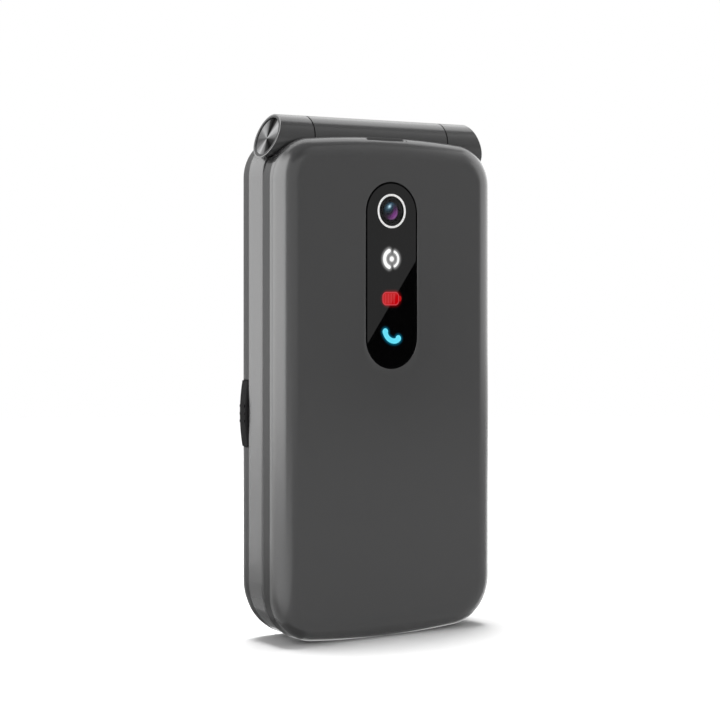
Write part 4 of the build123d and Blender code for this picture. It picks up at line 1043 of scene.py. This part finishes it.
class PHONE_OT_display(bpy.types.Operator):
    """Display glass with its dark border, and the mesh of the earpiece"""
    bl_idname = "phone.display"
    bl_label = "Display"

    def execute(self, context):
        box_low, box_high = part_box("display_glass")
        width, height = box_high.x - box_low.x, box_high.z - box_low.z
        centre = middle("display_glass")
        loop = rounded_loop(width, height, 2.5 * MM, centre.x, centre.z, 20, 20)
        front, back, e = box_low.y, box_high.y, 0.12 * MM
        profile = [(0, front), (0, back - e)]
        profile += [(e * (1 - math.cos(a)), back - e + e * math.sin(a))
                    for a in np.radians(np.linspace(15, 90, 6))]
        profile += [(0.9 * MM, back)]
        lit = high("display_module") - low("display_module")
        border_x, border_z = 1.6 * MM, 2.2 * MM
        material = display_finish(centre, lit.x / 2 - border_x, lit.z / 2 - border_z)
        glass = filled_piece("display_pane", loop, profile, material, (centre.x, centre.z))
        settle(glass, "lid", "display_glass", "display_glass")
        dress("dark", "earpiece")
        return {"FINISHED"}


class PHONE_OT_keypad(bpy.types.Operator):
    """Keys with soft edges and printed digits and pictograms, and the plate round them"""
    bl_idname = "phone.keypad"
    bl_label = "Keypad"

    def execute(self, context):
        s = context.scene.phone_sizes
        keys = sorted(node for node in NODES if node.startswith("key_"))
        dress("panel", "keypad_panel")
        for node in keys:
            self.make_key(node, s)
        for node in keys:
            front = low(node).y - s.legend_rise
            make = digit if node[4:].isdigit() else pictogram
            settle(make(node, middle(node), front, front + 0.16 * MM), node, "keys")
        return {"FINISHED"}

    def make_key(self, node, s):
        """Key with a flange at its foot and a shallow dome on top, whose drop grows with the square of the
        way from its middle to the rim: a point is the middle plus a share of the way to the rim, or the
        rim's less its inset times the normal."""
        box_low, box_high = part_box(node)
        hub = middle(node)
        flange = 0.5 * MM
        width, height = box_high.x - box_low.x - 2 * flange, box_high.z - box_low.z - 2 * flange
        if node in TURNS:
            points, normals = quarter_loop(node, middle("key_select"))
            inner = ring_line(points, middle("key_select"))
        else:
            if node == "key_select":
                points, normals = circle_loop(width / 2, hub.x, hub.z, 96)
            else:
                radius = 2.5 * MM if node[4:].isdigit() or node in ("key_star", "key_hash") else 2.2 * MM
                points, normals = rounded_loop(width, height, radius, hub.x, hub.z, 16, 10)
            inner = points.mean(0)
        top, e, crown = box_low.y, s.key_softness, s.key_crown
        shoulder, foot = top + 2.05 * MM, top + 2.45 * MM
        reach = points - e * normals - inner
        rings = [(inner + t * reach, top + crown * t ** 2) for t in np.linspace(0, 1, 8)]
        rings += [(points - inset * normals, y)
                  for inset, y in rounding(e, top + crown, 90, 0, 7)[1:]
                  + [(0.0, shoulder), (-flange, shoulder), (-flange, foot)]]
        rings.append((np.broadcast_to(inner, points.shape), foot))
        grid = np.stack([upright(flat, y) for flat, y in rings], 1)
        settle(grid_piece(f"{node}_cap", grid, "key", (True, False), sharp=40), node, "keys", node)


def quarter_loop(node, hub):
    """Loop of a direction key: two arcs about the hub joined by straight gaps, turned by quarter turns,
    then averaged over its neighbours so that the corners are round."""
    gap = 1.4 * MM
    apex = gap / math.sqrt(2)

    def arc(radius, way, count):
        """Arc between the two slanted sides, which cross at the apex."""
        z = (-2 * apex + math.sqrt(4 * apex ** 2 - 8 * (apex ** 2 - radius ** 2))) / 4
        angle = math.degrees(math.atan2(z, z + apex)) * way
        return arc_of(radius, -angle, angle, count)[0]

    first, second = arc(PAD_OUTER, 1, 120), arc(PAD_INNER, -1, 60)
    share = np.linspace(0, 1, 42)[1:-1, None]
    loop = np.concatenate([first, first[-1] + share * (second[0] - first[-1]), second,
                           second[-1] + share * (first[0] - second[-1]), first[:1]])
    run = distances(loop)
    loop = places_at(np.linspace(0, run[-1], 240, endpoint=False), run, loop)
    weights = np.exp(-np.linspace(-2, 2, 9) ** 2)
    loop = sum(w * np.roll(loop, k - 4, 0) for k, w in enumerate(weights / weights.sum()))
    tangent = np.roll(loop, -1, 0) - np.roll(loop, 1, 0)
    tangent /= np.linalg.norm(tangent, axis=1)[:, None]
    normals = np.stack([tangent[:, 1], -tangent[:, 0]], 1)
    spin = spin_of(node)
    return loop @ spin + np.array([hub.x, hub.z]), normals @ spin


def spin_of(node):
    """Matrix that turns pairs of x and z towards a direction key."""
    a = math.radians(TURNS[node])
    return np.array([[math.cos(a), math.sin(a)], [-math.sin(a), math.cos(a)]])


def ring_line(points, hub):
    """Nearest place on the middle arc of a direction key for each of its rim points: the hub plus the mean
    radius times the unit vector of the point's turn, which is held within a sweep of the key's middle."""
    centre = np.array([hub.x, hub.z])
    away = points - centre
    mean = math.atan2(*(away.mean(0)[::-1]))
    off = (np.arctan2(away[:, 1], away[:, 0]) - mean + math.pi) % (2 * math.pi) - math.pi
    sweep = 0.42
    turn = mean + np.clip(off, -sweep, sweep)
    return centre + (PAD_OUTER + PAD_INNER) / 2 * np.stack([np.cos(turn), np.sin(turn)], 1)


def digit(node, centre, front, back):
    """Printed digit, set flat on its key."""
    curve = bpy.data.curves.new(f"{node}_type", "FONT")
    curve.body, curve.size = node[4:], bpy.context.scene.phone_sizes.digit_size
    curve.align_x, curve.align_y = "CENTER", "CENTER"
    curve.resolution_u = 6
    holder = bpy.data.objects.new(f"{node}_type", curve)
    bpy.context.scene.collection.objects.link(holder)
    bpy.context.view_layer.update()
    mesh = bpy.data.meshes.new_from_object(holder.evaluated_get(bpy.context.evaluated_depsgraph_get()))
    bpy.data.objects.remove(holder)
    flat = np.zeros(len(mesh.vertices) * 3, np.float32)
    mesh.vertices.foreach_get("co", flat)
    flat = flat.reshape(-1, 3)[:, :2].astype(float)
    placed = flat - (flat.max(0) + flat.min(0)) / 2 + np.array([centre.x, centre.z])
    mesh.vertices.foreach_set("co", upright(placed, front).astype(np.float32).ravel())
    shape = bmesh.new()
    shape.from_mesh(mesh)
    bmesh.ops.remove_doubles(shape, verts=shape.verts, dist=WELD / 2)
    made = bmesh.ops.extrude_face_region(shape, geom=shape.faces[:])
    moved = [g for g in made["geom"] if isinstance(g, bmesh.types.BMVert)]
    bmesh.ops.translate(shape, verts=moved, vec=Vector((0, back - front, 0)))
    bmesh.ops.recalc_face_normals(shape, faces=shape.faces)
    shape.to_mesh(mesh)
    shape.free()
    mesh.materials.clear()
    return add_object(f"{node}_print", mesh, "print")


def pictogram(node, centre, front, back):
    """Printed sign of a key that has no digit, drawn with strokes in millimetres about its middle."""
    name = node[4:]
    tone = {"call": "print_call", "end": "print_end"}.get(name, "print")

    def mark(path, half):
        """Stroke along a path."""
        path = np.array([centre.x, centre.z]) + path * MM
        return stroke(f"{node}_mark", path, half * MM, front, back, tone)

    def line(points, half):
        """Stroke that runs straight from corner to corner."""
        path = np.array(points, float)
        dense = np.concatenate([first + np.linspace(0, 1, 16)[:, None] * (last - first)
                                for first, last in zip(path, path[1:])])
        return mark(dense[np.append(True, np.hypot(*np.diff(dense, axis=0).T) > 1e-9)], half)

    def bow(radius, start, end, x, z, half):
        """Stroke along an arc."""
        return mark(arc_of(radius, start, end, 50, x, z)[0], half)

    def handset(radius, start, end, z, ends):
        """Bow with a round knob at each end."""
        return [bow(radius, start, end, 0, z, 0.5)] + [bow(0.35, 0, 300, x, ends, 0.3) for x in (-1.9, 1.9)]

    if name == "star":
        tips = [1.5 * np.array([math.cos(a), math.sin(a)]) for a in np.radians((30, 90, 150))]
        marks = [line([-tip, tip], 0.24) for tip in tips]
    elif name == "hash":
        marks = [line([(x - 0.3, -1.9), (x + 0.3, 1.9)], 0.2) for x in (-0.75, 0.75)]
        marks += [line([(-1.8, z), (1.8, z)], 0.2) for z in (-0.7, 0.7)]
    elif name == "call":
        marks = handset(2.2, 205, 335, 1.5, 0.75)
    elif name == "end":
        marks = handset(2.6, 40, 140, -2.2, -0.5)
    elif name in ("soft_left", "soft_right"):
        marks = [line([(-1.7, 0), (1.7, 0)], 0.24)]
    elif name == "select":
        marks = [bow(1.5, 0, 357, 0, 0, 0.2)]
    else:
        marks = [line(np.array([(-0.45, -0.8), (0.4, 0.0), (-0.45, 0.8)]) @ spin_of(node), 0.2)]
    return join(f"{node}_print", marks)


class PHONE_OT_inner_parts(bpy.types.Operator):
    """Finishes of the parts inside: boards, cells, cables, screws and sockets"""
    bl_idname = "phone.inner_parts"
    bl_label = "Inner parts"

    def execute(self, context):
        dress("board", "main_board", "lid_board")
        dress("film", "lid_flex", "base_flex")
        dress("cell", "battery")
        dress("steel", "base_screws", "lid_screws", "pivot_pin", "hinge_can", "hinge_head", "sim_holder",
              "vibration_motor", "motor_weight", "charging_port", "lid_magnet")
        dress("dark", "loudspeaker", "headphone_jack", "antenna", "dome_sheet", "camera_module",
              "display_module")
        return {"FINISHED"}


# Stage

CAMERA = Vector((-0.228281, -0.335144, 0.072345))
CAMERA_YAW = math.radians(-33.995)
CAMERA_SHIFT = -0.1010
SENSOR = 36.0
AWAY = 0.9  # How far the walls and the mirrored cards stand away, in metres.
WHITE, BLACK = (1, 1, 1, 1), (0, 0, 0, 1)


class PHONE_OT_stage(bpy.types.Operator):
    """Pale floor, soft studio light, mirrored cards and the camera"""
    bl_idname = "phone.stage"
    bl_label = "Stage"

    def execute(self, context):
        levels = context.scene.studio_levels
        self.light_world(levels)
        self.lay_floor(levels)
        self.hang_lights(levels)
        self.stand_cards(levels)
        self.mirror_cards(levels, context.scene.phone_sizes.window_z)
        self.set_camera(levels)
        context.scene.view_settings.view_transform = "Standard"
        return {"FINISHED"}

    def light_world(self, levels):
        """White to the camera and to glossy and transmitted rays, and a plain fill to the rest."""
        world = bpy.data.worlds.new("studio")
        bpy.context.scene.world = world
        world.use_nodes = True
        w = Wiring(world.node_tree)
        back = w.tree.nodes["Background"]
        w.put(back.inputs["Color"], WHITE)
        path = w.out("LightPath").node.outputs
        seen = w.math("MAXIMUM", path["Is Camera Ray"], path["Is Glossy Ray"])
        seen = w.math("MAXIMUM", seen, path["Is Transmission Ray"])
        w.put(back.inputs["Strength"], w.spread(seen, levels.fill, 1.0, 0.0, 1.0))

    def lay_floor(self, levels):
        """Floor of pale matte paint that fades into the white backdrop away from the phone. It throws less
        light on the phone than its paint would, and is a little brighter in gloss."""
        f = Finish("floor_paint", Roughness=0.9, Specular_IOR_Level=0.0, Emission_Color=WHITE)
        path = f.out("LightPath").node.outputs
        pale = f.tint(f.noise(400.0), (0.88, 0.88, 0.88), (0.9, 0.9, 0.9))
        f.set("Base Color", f.tint(path["Is Diffuse Ray"], pale, (0.36, 0.36, 0.36)))
        f.set("Emission Strength", f.math("MULTIPLY", path["Is Glossy Ray"], levels.floor_gloss))
        fade = f.spread(f.out("VectorMath", {0: f.place}, "Value", operation="LENGTH"), 0.0, 1.0, 0.25, 0.7)
        mixed = f.out("MixShader", {0: fade, 1: f.shader.outputs[0], 2: f.out("BsdfTransparent")})
        f.put(f.tree.nodes["Material Output"].inputs["Surface"], mixed)
        half = 1.2
        floor = self.sheet((-half, -half), (half, half), 0.0)
        make_piece("studio_floor", floor, [[0, 1, 2, 3]], f.material)

    def hang_lights(self, levels):
        """Soft light from the left and a smaller one overhead, on matte surfaces alone."""
        aim = Vector((0, 0, 0.05))
        for name, place, size, power in (
                ("side_light", (-0.9, -0.25, 0.45), (0.85, 0.85), levels.side_power),
                ("top_light", (0.02, 0.14, 1.0), (0.56, 0.32), levels.top_power)):
            data = bpy.data.lights.new(name, "AREA")
            data.shape, data.energy = "RECTANGLE", power
            data.size, data.size_y = size
            light = bpy.data.objects.new(name, data)
            light.location = place
            light.rotation_euler = (aim - Vector(place)).to_track_quat("-Z", "Y").to_euler()
            light.visible_glossy = False
            bpy.context.scene.collection.objects.link(light)

    def stand_cards(self, levels):
        """Softboxes and flags round the phone, seen only in its gloss. Walls are given by their bearings,
        foot and head, level sheets by two corners and their height."""
        for name, strength, start, end, foot, head, fading in (
                ("flank_softbox", levels.flank_box, 106, 142, -0.12, 2.2, True),
                ("left_softbox", levels.left_box, 142, 239, -0.12, 2.2, True),
                ("right_softbox", levels.right_box, -43, 40, 0.02, 0.45, False),
                ("right_head", levels.right_box, -28, 40, 0.45, 0.95, False),
                ("right_flag", levels.right_flag, 40, 106, 0.02, 0.45, False)):
            self.screen(name, strength, self.wall(start, end, foot, head), fading)
        for name, strength, near, far, height in (
                ("top_softbox", levels.top_box, (-0.3, -0.09), (1.2, 0.9), 0.75),
                ("floor_flag", levels.flag, (-0.03, -0.8), (0.7, -0.0087), 0.0015),
                ("side_flag", levels.side_flag, (-0.09, -0.01), (-0.0275, 0.09), 0.0012),
                ("corner_flag", levels.corner_flag, (-0.0275, -0.012), (-0.02, 0.02), 0.0003),
                ("foot_strip", levels.foot, (-0.02, -0.0062), (0.024, 0.008), 0.0001),
                ("top_flag", 0.0, (-0.3, -1.2), (0.62, -0.09), 0.75)):
            self.screen(name, strength, self.sheet(near, far, height))

    def mirror_cards(self, levels, window_z):
        """In front of the phone, a grey card and a black one whose slanted edge lies in front of the grey,
        placed by what the window shows of them to the camera."""
        face = low("lid_cover").y
        mirrored = Vector((CAMERA.x, 2 * face - CAMERA.y, CAMERA.z))
        forward = (Vector((0.0, face, window_z)) - mirrored).normalized()
        side = Vector((-forward.y, forward.x, 0)).normalized()

        def spot_of(x, z):
            """Place on the card that is mirrored at x and z on the window, in millimetres."""
            ray = Vector((x * MM, face, z * MM)) - mirrored
            return mirrored + ray * (AWAY / ray.dot(forward))

        centre = mirrored + forward * AWAY
        half, gap = 0.16, 0.004
        foot, head = Vector((0, 0, gap - centre.z)), Vector((0, 0, 0.6))
        grey = [centre + side * way + lift
                for way, lift in ((-half, foot), (half, foot), (half, head), (-half, head))]
        black = [spot_of(x, z) - forward * gap
                 for x, z in ((-8.5, 57.4), (8.5, 81.2), (8.5, 48.0), (-8.5, 48.0))]
        self.screen("grey_card", levels.card, np.array([tuple(v) for v in grey]))
        self.screen("black_card", 0.0, np.array([tuple(v) for v in black]))

    def wall(self, start, end, foot, head):
        """Upright sheet bent round the phone between two bearings in degrees: the points of an arc, once
        at the foot's height and once at the head's."""
        flat, _ = arc_of(AWAY, start, end, 40)
        return np.stack([np.insert(flat, 2, z, axis=1) for z in (foot, head)], 1)

    def sheet(self, near, far, height):
        """Level sheet between two corners."""
        return np.array([(near[0], near[1], height), (far[0], near[1], height), (far[0], far[1], height),
                         (near[0], far[1], height)])

    def screen(self, name, strength, points, fading=False):
        """Glowing or black sheet that only gloss sees. A fading one is as bright as the backdrop at its
        head."""
        f = Finish(name, Roughness=1.0, Base_Color=BLACK, Specular_IOR_Level=0.0, Emission_Color=WHITE,
                   Emission_Strength=strength)
        if fading:
            height = f.out("SeparateXYZ", {"Vector": f.place}, 2)
            f.set("Emission Strength", f.spread(height, strength, 1.0, 0.8, 1.6))
        faces = quads(*points.shape[:2]) if points.ndim == 3 else [list(range(len(points)))]
        card = make_piece(name, points, faces, f.material)
        card.visible_camera = card.visible_diffuse = card.visible_shadow = False
        card.visible_transmission = card.visible_volume_scatter = False

    def set_camera(self, levels):
        """Level camera at the front left, shifted so that the phone stands in the middle of the picture."""
        data = bpy.data.cameras.new("camera")
        data.lens, data.sensor_width, data.shift_y = levels.lens_mm, SENSOR, CAMERA_SHIFT
        camera = bpy.data.objects.new("camera", data)
        camera.location = CAMERA
        camera.rotation_euler = (QUARTER, 0, CAMERA_YAW)
        bpy.context.scene.collection.objects.link(camera)
        bpy.context.scene.camera = camera


class PHONE_PT_panel(bpy.types.Panel):
    """Pieces of the phone and its stage"""
    bl_idname = "PHONE_PT_panel"
    bl_label = "Flip phone"
    bl_space_type = "VIEW_3D"
    bl_region_type = "UI"
    bl_category = "Phone"

    def draw(self, context):
        for operator in OPERATORS:
            self.layout.operator(operator.bl_idname)


OPERATORS = (PHONE_OT_lid_cover, PHONE_OT_window, PHONE_OT_signs, PHONE_OT_camera_eye, PHONE_OT_end_caps,
             PHONE_OT_shells, PHONE_OT_seam_lip, PHONE_OT_display, PHONE_OT_keypad, PHONE_OT_inner_parts,
             PHONE_OT_stage)
GROUPS = (("phone_sizes", PhoneSizes), ("phone_colours", PhoneColours), ("studio_levels", StudioLevels))


def register():
    for name, group in GROUPS:
        bpy.utils.register_class(group)
        setattr(bpy.types.Scene, name, PointerProperty(type=group))
    for operator in OPERATORS:
        bpy.utils.register_class(operator)
    bpy.utils.register_class(PHONE_PT_panel)


def unregister():
    bpy.utils.unregister_class(PHONE_PT_panel)
    for operator in reversed(OPERATORS):
        bpy.utils.unregister_class(operator)
    for name, group in reversed(GROUPS):
        delattr(bpy.types.Scene, name)
        bpy.utils.unregister_class(group)


def main():
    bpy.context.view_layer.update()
    register()
    for operator in OPERATORS:
        group, name = operator.bl_idname.split(".")
        getattr(getattr(bpy.ops, group), name)()


if __name__ == "__main__":
    main()
